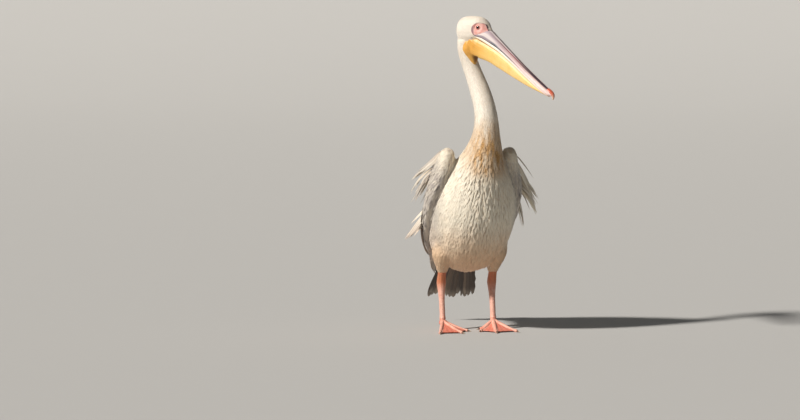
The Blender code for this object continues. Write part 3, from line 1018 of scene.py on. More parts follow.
@dataclass(frozen=True)
class Anatomy:
    """Where the bird's parts lie: lines through its body and frames for its head and bill."""

    skull: tuple = (-0.029, -0.112, 0.997)
    head_turn: float = 36.5
    bill_droop: float = 37.8
    bill_root: tuple = (0.0, -0.098, 0.011)  # the forehead's feathered point, from the skull's middle
    eye_seat: tuple = (0.0232, -0.061, 0.0195)  # the left eye, from the skull's middle
    eye_radius: float = 0.0085
    eye_sunk: float = 0.0026
    eye_back: float = 0.0040
    spine: tuple = (  # from the tail root to the skull
        (0.000, 0.243, 0.190), (0.000, 0.225, 0.201), (0.000, 0.165, 0.238), (0.000, 0.100, 0.283),
        (0.001, 0.020, 0.350), (0.004, -0.050, 0.430), (0.008, -0.100, 0.510), (0.014, -0.128, 0.577),
        (0.021, -0.140, 0.640), (0.022, -0.142, 0.700), (0.016, -0.134, 0.750), (0.004, -0.120, 0.800),
        (-0.012, -0.108, 0.850), (-0.028, -0.101, 0.897), (-0.039, -0.101, 0.938), (-0.041, -0.104, 0.973),
        (-0.029, -0.112, 0.997), (0.006, -0.160, 1.012), (0.030, -0.190, 1.008),
    )
    wing: tuple = (  # the left wing's middle line, then its tilt and its half thickness, rise and drop
        (0.103, -0.128, 0.597, 4, 0.010, 0.013, 0.014), (0.106, -0.116, 0.586, 6, 0.0250, 0.030, 0.034),
        (0.111, -0.085, 0.556, 10, 0.0310, 0.047, 0.062), (0.118, -0.030, 0.500, 17, 0.0390, 0.072, 0.088),
        (0.112, 0.040, 0.425, 28, 0.0450, 0.090, 0.096), (0.095, 0.110, 0.352, 39, 0.0430, 0.090, 0.088),
        (0.078, 0.180, 0.279, 50, 0.0330, 0.074, 0.068), (0.061, 0.245, 0.216, 60, 0.0190, 0.048, 0.044),
        (0.044, 0.302, 0.164, 62, 0.0090, 0.026, 0.026), (0.033, 0.336, 0.135, 66, 0.0040, 0.012, 0.012),
    )
    leg_out: float = 0.089

    def shift(self) -> Vector:
        """How far the shared frame lies from the one that these sizes are in.

        Returns:
            The way to add.
        """
        low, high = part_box("eye_left")
        turned = turn(self.head_turn, "Z") @ Vector(self.eye_seat) + Vector(self.skull)
        return (low + high) / 2 - turned

    def head(self) -> Matrix:
        """The head's frame: X to its left, Y to its back, Z up."""
        return Matrix.Translation(self.shift() + Vector(self.skull)) @ turn(self.head_turn, "Z")

    def bill(self) -> Matrix:
        """The bill's frame: -Y along the bill, Z off its upper side."""
        return self.head() @ Matrix.Translation(self.bill_root) @ turn(self.bill_droop, "X")

    def spine_line(self, count: int = 240) -> tuple[Array, Array, Array]:
        """Points down the middle of the body.

        Args:
            count: How many.

        Returns:
            The points, the way to the tail at each, and each one's place in rows of the spine.
        """
        places = np.linspace(0, len(self.spine) - 1, count)
        points = table(self.spine, places) + np.array(self.shift())
        return points, unit(-np.gradient(points, axis=0)), places

    def wing_rings(self, places: Array, side: Side) -> tuple[Array, Array, Array, Array, Array]:
        """Where a wing lies at some places along it.

        Args:
            places: The places, counted in rows from the wrist.
            side: Which wing.

        Returns:
            The middle points, the way to the tip, the way outward, the way to the back, and the half sizes
            (thickness, rise, drop).
        """
        rows = table(self.wing, places)
        sign = np.array([side, 1.0, 1.0])
        places = np.asarray(places)
        along = unit((table(self.wing, places + 0.05) - table(self.wing, places - 0.05))[:, :3] * sign)
        lean = np.radians(rows[:, 3])
        up = np.stack([-side * np.sin(lean), 0.71 * np.cos(lean), 0.70 * np.cos(lean)], 1)
        up = flatten(up, along)
        out = unit(np.cross(up, along)) * -side
        out = np.where(out[:, :1] * side < 0, -out, out)
        lean_in = 0.003 * np.maximum(0.0, 1 - places / 5)[:, None] * np.array([1.0, 0, 0])
        return rows[:, :3] * sign + lean_in + np.array(self.shift()), along, out, up, rows[:, 4:7]

    def eye(self, side: Side) -> tuple[Array, Array]:
        """An eye's middle and the way that it looks, in the shared frame.

        Args:
            side: Which eye.

        Returns:
            The middle and the way.
        """
        x, y, z = self.eye_seat
        look = self.head().to_3x3() @ Vector((side * 0.90, -0.40, 0.10)).normalized()
        middle = self.head() @ Vector((side * x, y + self.eye_back, z)) - look * self.eye_sunk
        return np.array(middle), np.array(look)


ANATOMY = Anatomy()


# ---- The skin, and what can grow on it.


@dataclass
class Ground:
    """A closed skin of triangles that feathers grow from."""

    shell: Shell
    crowding: float = 4.5  # how many random places are tried for each one that can stay
    faces: Array = field(init=False)
    normals: Array = field(init=False)
    tree: BVHTree = field(init=False)

    def __post_init__(self) -> None:
        """Prepares the search for nearest places."""
        self.faces = self.shell.triangles()
        self.normals = self.shell.normals()
        self.tree = self.shell.tree()

    def nearest(self, points: Array) -> tuple[Array, Array, Array]:
        """The place on the skin that is nearest to each point.

        Args:
            points: One row each.

        Returns:
            The places, the smooth normals there and the faces they lie on.
        """
        hits = [self.tree.find_nearest(point) for point in points.tolist()]
        found, faces = np.array([hit[0] for hit in hits]), np.array([hit[2] for hit in hits])
        return found, self.smooth(found, faces), faces

    def weights(self, places: Array, faces: Array) -> Array:
        """How near each place lies to the three corners of its face.

        Args:
            places: One row each.
            faces: The face that each lies on.

        Returns:
            Three numbers from 0 to 1 for each.
        """
        a, b, c = (self.shell.points[self.faces[faces, corner]] for corner in range(3))
        whole = np.cross(b - a, c - a)
        scale = np.maximum(dots(whole, whole), 1e-18)
        near_b = dots(np.cross(places - a, c - a), whole) / scale
        near_c = dots(np.cross(b - a, places - a), whole) / scale
        return np.clip(np.concatenate([1 - near_b - near_c, near_b, near_c], 1), 0.0, 1.0)

    def smooth(self, places: Array, faces: Array) -> Array:
        """The skin's normal at each place, blended between its face's corners."""
        return unit((self.normals[self.faces[faces]] * self.weights(places, faces)[..., None]).sum(1))

    def blended(self, values: Array, places: Array, faces: Array) -> Array:
        """Numbers of the skin's points, blended at each place."""
        weights = self.weights(places, faces)
        return (values[self.faces[faces]] * (weights if values.ndim == 1 else weights[..., None])).sum(1)

    def scattered(self, spacing: Array, wanted: Array, random: np.random.Generator) -> tuple[Array, Array]:
        """Places spread evenly over part of the skin.

        Args:
            spacing: The least distance between two places, at each point of the skin.
            wanted: Which points of the skin take part.
            random: The source of chance.

        Returns:
            The places and the faces that they lie on.
        """
        a, b, c = (self.shell.points[self.faces[:, corner]] for corner in range(3))
        area = 0.5 * np.linalg.norm(np.cross(b - a, c - a), axis=1)
        reach = spacing[self.faces].mean(1)
        share = area * wanted[self.faces].all(1) / reach**2
        tries = int(share.sum() * self.crowding)
        faces = random.choice(len(share), tries, p=share / share.sum())
        first, second = random.random(tries), random.random(tries)
        folded = first + second > 1
        first, second = np.where(folded, 1 - first, first), np.where(folded, 1 - second, second)
        a, b, c = a[faces], b[faces], c[faces]
        points = a + (b - a) * first[:, None] + (c - a) * second[:, None]
        kept = thinned(points.tolist(), reach[faces].tolist())
        return points[kept], faces[kept]


@dataclass
class Skin:
    """The flesh of head, neck, trunk, wings and thighs as one closed skin, with a bare face and eyelids.

    It lies inside the solids by the coat's depth, which is nothing on the face.
    """

    voxel: float = 0.0048
    head_depth: float = 0.0004
    neck_depth: float = 0.0018
    trunk_depth: float = 0.0050
    wing_depth: float = 0.0060
    wing_slim: float = 0.0060  # how much deeper the skin lies along the wing's middle
    thigh_depth: float = 0.0038
    groove_depth: float = 0.0080  # of the line where wing and trunk meet
    forehead: float = 0.0070
    lid_opening: float = 0.0048  # radius of the opening between the lids
    lid_thickness: float = 0.0009
    eye_level: float = 0.0062  # how far the face round an eye lies over the eyeball's middle
    crease_pitch: float = 0.0042  # from one crease of the bare face to the next
    fine_reach: float = 0.0125  # how far from the eyes the skin's smallest triangles reach
    parting: float = 0.0065  # how wide the line is where wing and trunk meet
    ground: Ground = field(init=False)
    region: Array = field(init=False)
    side: Array = field(init=False)
    station: Array = field(init=False)
    wing_place: Array = field(init=False)
    meeting: Array = field(init=False)
    face: Array = field(init=False)
    marks: Array = field(init=False)
    unwrap: Array = field(init=False)

    def nodes(self) -> dict[str, Region]:
        """The solids that the skin stands for, with their regions.

        Returns:
            Each solid's region by its name.
        """
        found = {"head": Region.HEAD, "trunk": Region.TRUNK}
        found |= {f"neck_{part}": Region.NECK for part in ("lower", "middle", "upper")}
        for side in Side:
            found[f"thigh_{side.word}"] = Region.THIGH
            found |= {f"wing_{side.word}_{part}": Region.WING for part in ("wrist", "forearm", "quills")}
        return found

    def build(self) -> Object:
        """Makes the skin.

        Returns:
            The skin's object.
        """
        solids = {name: node_shell(name) for name in self.nodes()}
        shell = melted(list(solids.values()), self.voxel)
        shell.relax(26)
        shell = self.with_fine_head(shell)
        self.locate(shell, solids)
        shell.relax(12, ease(self.head_share(shell.points), 0.2, 0.7))
        _, back, up = self.in_head(shell.points).T
        shell.relax(40, ease(back, -0.010, 0.010) * ease(up, -0.075, -0.055) * ease(up, 0.020, 0.0))
        shell.relax(36, 0.8 * ease(back, -0.012, 0.012) * hump(up, -0.033, 0.011), keep_volume=False)
        self.raise_forehead(shell)
        self.meeting = self.near_line(shell.points, solids)
        depth = self.depth(shell.points) + self.groove_depth * self.meeting
        shell.points = shell.points - shell.normals() * depth[:, None]
        shell.relax(4, 0.6)
        self.sculpt_face(shell)
        self.mark(shell)
        vane = np.tile((1.0, 0.5, 0.5), (len(shell.points), 1))
        shell.carried = {"marks": self.marks, "face": self.face, "vane": vane}
        made = shell.made("skin")
        self.unwrap = self.lay_flat(made)
        self.ground = Ground(shell)
        made.data.materials.append(Hide().material())
        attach(made, "root")
        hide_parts(*solids)
        LOG.info("skin: %d triangles", len(self.ground.faces))
        return made

    def in_head(self, points: Array) -> Array:
        """Points in the head's frame."""
        return seen_from(points, ANATOMY.head())

    def head_share(self, points: Array) -> Array:
        """1 on the head and 0 off it, with a soft edge on the upper neck.

        Args:
            points: One row each.

        Returns:
            One number for each point.
        """
        x, y, z = self.in_head(points).T
        away = np.sqrt((x / 0.055) ** 2 + ((y + 0.026) / 0.092) ** 2 + ((z - 0.006) / 0.070) ** 2)
        return ease(away, 1.12, 0.94)

    def with_fine_head(self, shell: Shell) -> Shell:
        """The skin as triangles, with the head's a quarter as long as the body's.

        Args:
            shell: The even skin.

        Returns:
            The skin with small triangles on the head and smaller ones round the eyes.
        """
        source = shell.made("coarse")
        shape = bmesh.new()
        shape.from_mesh(source.data)
        bpy.data.meshes.remove(source.data)
        for level in (0.02, 0.35, None):
            centres = np.array([face.calc_center_median() for face in shape.faces])
            near = self.head_share(centres) > level if level else self.from_eyes(centres) < self.fine_reach
            chosen = {edge for face, take in zip(shape.faces, near) if take for edge in face.edges}
            bmesh.ops.subdivide_edges(shape, edges=list(chosen), cuts=1, use_grid_fill=True)
        bmesh.ops.triangulate(shape, faces=shape.faces)
        return freed(shape)

    def locate(self, shell: Shell, solids: dict[str, Shell]) -> None:
        """Finds which solid each point came from and where along the spine or wing it lies.

        Args:
            shell: The skin.
            solids: The solids that it came from, by name.
        """
        owner = np.repeat(np.arange(len(solids)), [len(solid.triangles()) for solid in solids.values()])
        tree = joined(list(solids.values())).tree()
        nearest = np.array([owner[tree.find_nearest(point)[2]] for point in shell.points.tolist()])
        regions = np.array([self.nodes()[name] for name in solids])
        sides = np.array([("left" in name) - ("right" in name) for name in solids])
        self.region, self.side = regions[nearest], sides[nearest]
        line, _, places = ANATOMY.spine_line()
        self.station = places[np.argmin(((shell.points[:, None] - line[None]) ** 2).sum(-1), axis=1)]
        self.wing_place = np.zeros(len(shell.points))
        steps = np.linspace(0, 9, 91)
        for side in Side:
            mine = (self.region == Region.WING) & (self.side == side)
            middle = ANATOMY.wing_rings(steps, side)[0]
            apart = ((shell.points[mine][:, None] - middle[None]) ** 2).sum(-1)
            self.wing_place[mine] = steps[np.argmin(apart, axis=1)]

    def near_line(self, points: Array, solids: dict[str, Shell]) -> Array:
        """1 on the line where a wing meets the trunk, and 0 some way off it.

        Args:
            points: The skin's points.
            solids: The solids that it came from.

        Returns:
            One number for each point.
        """
        wings = joined([part for name, part in solids.items() if "wing" in name])
        found = np.zeros(len(points))
        near = np.isin(self.region, (Region.TRUNK, Region.WING, Region.NECK))
        for tree in (solids["trunk"].tree(), wings.tree()):
            apart = np.array([tree.find_nearest(point)[3] for point in points[near].tolist()])
            found[near] = np.maximum(found[near], apart)
        return np.where(near, hump(found, 0.0, self.parting), 0.0)

    def depth(self, points: Array) -> Array:
        """How deep the skin lies under the coat's surface at each of its points.

        Args:
            points: The skin's points.

        Returns:
            Metres for each point.
        """
        rows = [self.trunk_depth] * 7 + [self.trunk_depth * 0.9]
        rows += [self.neck_depth * share for share in (1.2, 1, 1, 0.9, 0.8, 0.7, 0.6)] + [self.head_depth] * 4
        depth = table([(row,) for row in rows], self.station)[:, 0]
        depth = np.where(self.region == Region.THIGH, self.thigh_depth, depth)
        place = self.wing_place
        wing = self.wing_depth * (0.45 + 0.55 * ease(place, 0.0, 3.0)) * ease(place, 9.0, 7.0)
        wing = wing + self.wing_slim * ease(place, 2.6, 4.2) * ease(place, 8.2, 6.6)
        depth = np.where(self.region == Region.WING, wing, depth)
        return depth * (1 - self.bare(points)) * ease(points[:, 2], 0.20, 0.235)

    def from_eyes(self, points: Array) -> Array:
        """How far each point lies from the nearer eye's middle."""
        return np.min([np.linalg.norm(points - ANATOMY.eye(side)[0], axis=1) for side in Side], 0)

    def raise_forehead(self, shell: Shell) -> None:
        """Fills out the forehead, which falls in a straight slope from a flat crown to the bill.

        Args:
            shell: The skin, which is changed.
        """
        _, y, z = self.in_head(shell.points).T
        fill = hump(-y, 0.060, 0.030) * ease(z, 0.010, 0.030) * ease(self.head_share(shell.points), 0.2, 0.6)
        shell.points = shell.points + shell.normals() * (self.forehead * fill)[:, None]

    def gape(self, points: Array) -> Array:
        """1 on the bare corner of the mouth, behind and between the bill's roots.

        Args:
            points: One row each.

        Returns:
            One number for each point.
        """
        _, y, z = self.in_head(points).T
        slope = z + 0.022 + 0.30 * (-y - 0.052)
        return ease(np.sqrt(((-y - 0.062) / 0.028) ** 2 + (slope / 0.0085) ** 2), 1.10, 0.88)

    def bare(self, points: Array) -> Array:
        """1 on the naked face, from behind the eye to the bill, and 0 where feathers grow.

        Args:
            points: One row each.

        Returns:
            One number for each point.
        """
        x, y, z = self.in_head(points).T
        ahead = -y
        rear = np.sqrt(((ahead - 0.0640) / 0.0275) ** 2 + ((z - 0.0110) / 0.0240) ** 2)
        front = np.sqrt(((ahead - 0.089) / 0.031) ** 2 + ((z + 0.004) / 0.0170) ** 2)
        patch = np.maximum(ease(rear, 1.06, 0.94), ease(front, 1.06, 0.92))
        wedge = ease(np.abs(x), 0.0040, 0.0068)
        return np.maximum(patch * wedge, self.gape(points)) * ease(self.head_share(points), 0.1, 0.5)

    def sculpt_face(self, shell: Shell) -> None:
        """Seats the eyes: lids that wrap round the eyeballs, a fold round them, and fine creases.

        Args:
            shell: The skin, which is changed.
        """
        shell.relax(30, ease(self.from_eyes(shell.points), 0.0235, 0.0180), keep_volume=False)
        normals = shell.normals()
        moved = shell.points.copy()
        bare = self.bare(shell.points)
        local = self.in_head(shell.points)
        ahead, height = -local[:, 1], local[:, 2]
        slant = height * 0.9 + ahead * 0.35 + 0.0009 * ripple(local, 0.02, 3)
        creases = np.sin(slant * 2 * math.pi / self.crease_pitch)
        moved += normals * (bare * (0.00012 * creases + 0.00016 * ripple(local, 0.009, 4)))[:, None]
        for side in Side:
            middle, look = ANATOMY.eye(side)
            reach = moved - middle
            height = reach @ look
            flat = reach - height[:, None] * look
            across = np.linalg.norm(flat, axis=1)
            near = (height > -0.014) & (across < 0.020)
            snapped = across + (self.lid_opening - across) * hump(across, self.lid_opening, 0.00035)
            radius = ANATOMY.eye_radius
            shell_radius = radius + self.lid_thickness + 0.0004 * hump(across, self.lid_opening * 1.2, 0.0008)
            lid = np.sqrt(np.clip(shell_radius**2 - across**2, 0, None))
            hidden = np.sqrt(np.clip(radius**2 - across**2, 0, None)) - 0.0020
            fold = 0.0004 * hump(across, 0.0122, 0.0010) - 0.0007 * hump(across, 0.0098, 0.0011)
            lid = np.maximum(lid, self.eye_level + fold)
            wanted = hidden + (lid - hidden) * ease(across, self.lid_opening * 0.95, self.lid_opening * 1.08)
            hold = ease(across, 0.0175, 0.0100) * near
            target = middle + flat * (snapped / np.maximum(across, 1e-6))[:, None] + look * wanted[:, None]
            moved = moved + (target - moved) * hold[:, None]
        shell.points = moved
        away = self.from_eyes(moved)
        shell.relax(8, ease(away, 0.0100, 0.0112) * ease(away, 0.022, 0.018))

    def mark(self, shell: Shell) -> None:
        """Gives each point its markings, painted shadow under the brow, painted shade in the gape's creases,
        and the share of bare skin, rim and lid.

        Args:
            shell: The finished skin.
        """
        points = shell.points
        bare = self.bare(points)
        gape = self.gape(points)
        outer = np.clip(bare * (1 - ease(bare, 0.75, 1.0)) * 4, 0, 1) * (1 - gape)
        lid = np.zeros(len(points))
        for side in Side:
            middle, look = ANATOMY.eye(side)
            reach = points - middle
            across = np.linalg.norm(np.cross(reach, look), axis=1)
            lid = np.maximum(lid, ease(across, 0.0080, 0.0055) * (reach @ look > 0))
        x, y, z = self.in_head(points).T
        # a dark line along the bare patch's upper front edge and the brow: painted shadow under the
        # forehead's feathers
        edge = 0.6 * hump(bare, 0.55, 0.40) * ease(-y, 0.056, 0.066) * ease(z, 0.004, 0.010)
        brow = ease(np.abs(x), 0.0126, 0.0106) * ease(-y, 0.061, 0.068) * ease(bare, 0.15, 0.4)
        brow = np.maximum(brow, edge)
        rim = np.maximum(outer * 0.6, ease(-y, 0.050, 0.041)) * bare * (1 - gape)
        self.face = np.stack([bare, rim, lid], 1)
        self.marks = markings(points, self.region, self.wing_place)
        # dark lines round the gape's edge: painted shade in its creases
        crease = 0.95 * hump(gape, 0.45, 0.35) * ease(gape, 0.03, 0.15)
        for column, more in ((0, gape * bare), (2, brow * (1 - gape)), (2, crease)):
            self.marks[:, column] = np.maximum(self.marks[:, column], more)

    def lay_flat(self, made: Object) -> Array:
        """Unwraps the skin by its own shape and returns the map, by face, corner and axis.

        Args:
            made: The skin's object.

        Returns:
            The map.
        """
        bpy.context.view_layer.objects.active = made
        made.select_set(True)
        made.data.uv_layers.new(name=PATCH_MAP)
        bpy.ops.object.mode_set(mode="EDIT")
        bpy.ops.mesh.select_all(action="SELECT")
        bpy.ops.uv.smart_project(angle_limit=math.radians(70), island_margin=0.001)
        bpy.ops.object.mode_set(mode="OBJECT")
        made.select_set(False)
        flat = np.empty(len(made.data.loops) * 2, np.float32)
        made.data.uv_layers[PATCH_MAP].data.foreach_get("uv", flat)
        return flat.reshape(-1, 3, 2)


def markings(points: Array, region: Array, wing_place: Array) -> Array:
    """The plumage's marks, which skin and coat share.

    Args:
        points: Where, one row each.
        region: The number of the region of each point.
        wing_place: How far along a wing each lies, in rows from the wrist.

    Returns:
        For each point, how much of the ochre breast patch, of silver grey and of black it has; the wings'
        silver grey is partly painted shade and the flanks' grey is painted shadow.
    """
    x, y, z = (points + 0.006 * np.stack([ripple(points, 0.05, seed) for seed in (11, 12, 13)], 1)).T
    body = (region == Region.TRUNK) | (region == Region.NECK)
    stripes = 0.78 + 0.34 * ripple(points * np.array([1.0, 1.0, 0.2]), 0.014, 14)
    ochre = ease(z, 0.530, 0.60) * ease(z, 0.79, 0.65) * ease(y, -0.050, -0.11)
    ochre = ochre * ease(np.abs(x - 0.004), 0.090, 0.030)
    ochre = np.clip(ochre * stripes * 0.95, 0, 1) * body
    wing = region == Region.WING
    # the wings' silver grey: partly their own tone, partly painted shade
    silver = np.where(wing, 0.85 * ease(wing_place, 0.7, 2.6), 0.0)
    # grey on the lower flanks: painted shadow, as if the wings shaded them
    flank = 0.52 * ease(np.abs(x + 0.016), 0.110, 0.138) * ease(z, 0.54, 0.46)
    silver = np.where(region == Region.TRUNK, np.maximum(0.35 * ease(y, 0.15, 0.25), flank), silver)
    black = np.where(wing, 0.85 * ease(wing_place, 6.2, 7.8), 0.0)
    return np.stack([ochre, silver, black], 1)


# ---- Feathers.


@dataclass(frozen=True)
class Cut:
    """The outline and cross-section of one kind of feather.

    Stations run from root to tip and end in a point. The section is a closed loop of points, each with its
    place across from -1 to 1 and its height in thicknesses.
    """

    stations: tuple
    widths: tuple
    across: tuple
    heights: tuple

    def faces(self) -> tuple[Array, Array]:
        """The quads along one feather and the triangles that close its ends.

        Returns:
            Both, as numbers of one feather's points.
        """
        rings, corners = len(self.stations) - 1, len(self.across)
        numbers = np.arange(rings * corners).reshape(rings, corners)
        near, far, last, tip = numbers[:-1], numbers[1:], numbers[-1], rings * corners
        quads = np.stack([near, far, np.roll(far, -1, 1), np.roll(near, -1, 1)], -1).reshape(-1, 4)
        ends = [[last[(c + 1) % corners], last[c], tip] for c in range(corners)]
        ends += [[0, c, c + 1] for c in range(1, corners - 1)]
        return quads, np.array(ends)


TUFT = Cut((0.0, 0.30, 0.60, 0.84, 1.0), (0.50, 0.92, 1.0, 0.66, 0.0), (-1, 0, 1), (0, 1, 0))
DOWN = Cut((0.0, 0.38, 0.76, 1.0), (0.55, 1.0, 0.72, 0.0), (-1, 0, 1), (0, 1, 0))
COVERT = Cut(
    (0.0, 0.12, 0.30, 0.50, 0.68, 0.82, 0.92, 1.0), (0.35, 0.62, 0.90, 1.0, 0.96, 0.80, 0.52, 0.0),
    (-1, -0.45, 0, 0.45, 1, 0), (0, 0.55, 1.5, 0.55, 0, -0.8),
)
LANCE = Cut(
    (0.0, 0.08, 0.20, 0.35, 0.50, 0.64, 0.76, 0.86, 0.94, 1.0),
    (0.30, 0.55, 0.85, 1.0, 0.97, 0.84, 0.64, 0.42, 0.20, 0.0), (-1, -0.5, -0.07, 0, 0.07, 0.5, 1, 0),
    (0, 0.6, 0.7, 1.9, 0.7, 0.6, 0, -0.9),
)
QUILL = Cut(
    (0.0, 0.06, 0.14, 0.25, 0.38, 0.50, 0.60, 0.70, 0.79, 0.86, 0.92, 0.97, 1.0),
    (0.16, 0.35, 0.62, 0.86, 0.98, 1.0, 1.0, 1.0, 0.98, 0.92, 0.78, 0.50, 0.0),
    (-1, -0.5, -0.07, 0, 0.07, 0.5, 1, 0), (0, 0.6, 0.7, 2.0, 0.7, 0.6, 0, -0.9),
)


@dataclass
class Bunch:
    """Feathers of one kind: arrays with one row for each feather.

    path and lie are the middle line and the way off the body at each station; patch is where each one reads
    the unwrap.
    """

    cut: Cut
    path: Array
    lie: Array
    half_width: Array
    thickness: Array | float
    marks: Array
    tone: Array
    patch: Array | None = None
    camber: float = 0.08
    thinning: float = 0.6  # how much of its thickness a feather loses towards its tip
    ragged: float = 0.0
    twist: Array | None = None

    def shell(self, random: np.random.Generator) -> Shell:
        """All the feathers as one shell, with their marks, vanes and patches of the unwrap.

        Args:
            random: The source of chance, for ragged edges.

        Returns:
            The shell.
        """
        cut, count = self.cut, len(self.path)
        stations, corners = np.array(cut.stations), len(cut.across)
        rings = len(stations) - 1
        size = rings * corners + 1
        along = unit(np.gradient(self.path, axis=1))
        lie = flatten(self.lie, along)
        side = np.cross(along, lie)
        if self.twist is not None:
            bend = (stations * self.twist[:, None])[..., None]
            side, lie = side * np.cos(bend) + lie * np.sin(bend), lie * np.cos(bend) - side * np.sin(bend)
        widths = (np.array(cut.widths)[:rings] * self.half_width[:, None])[..., None]
        across = np.broadcast_to(np.array(cut.across, float), (count, rings, corners))
        if self.ragged:
            nibble = 1 - self.ragged * random.random((count, rings, 2)) ** 3
            nibble[:, 0] = 1
            across = np.where(across < 0, across * nibble[..., :1], across * nibble[..., 1:])
        heights = np.array(cut.heights) * np.broadcast_to(self.thickness, (count,))[:, None, None]
        heights = heights * (1 - self.thinning * stations[:rings, None])
        up = heights - self.camber * across**2 * widths
        points = self.path[:, :rings, None] + side[:, :rings, None] * (across * widths)[..., None]
        points = points + lie[:, :rings, None] * up[..., None]
        points = np.concatenate([points.reshape(count, size - 1, 3), self.path[:, -1:]], 1)
        vane = np.zeros((count, size, 3))
        vane[:, :-1, 0], vane[:, -1, 0] = np.repeat(stations[:rings], corners), 1.0
        vane[:, :-1, 1] = np.tile(np.array(cut.across, float), rings)
        vane[..., 2] = self.tone[:, None]
        place = self.patch[:, None] + PATCH * np.stack([vane[..., 1] * 0.5, vane[..., 0] - 0.5], -1)
        starts = (np.arange(count) * size)[:, None, None]
        faces = [(group[None] + starts).reshape(-1, group.shape[1]) for group in cut.faces()]
        carried = {"vane": vane.reshape(-1, 3), "marks": np.repeat(self.marks, size, axis=0)}
        return Shell(points.reshape(-1, 3), faces, carried, [place.reshape(-1, 2)[group] for group in faces])


@dataclass
class Roots:
    """Places on the skin where feathers grow, with what the skin says there."""

    places: Array
    normals: Array
    faces: Array
    station: Array
    wing_place: Array
    marks: Array
    patch: Array

    def turned(self, ways: Array, angle: Array) -> Array:
        """Each root's way turned about the normal by its angle."""
        return ways * np.cos(angle)[:, None] + np.cross(self.normals, ways) * np.sin(angle)[:, None]


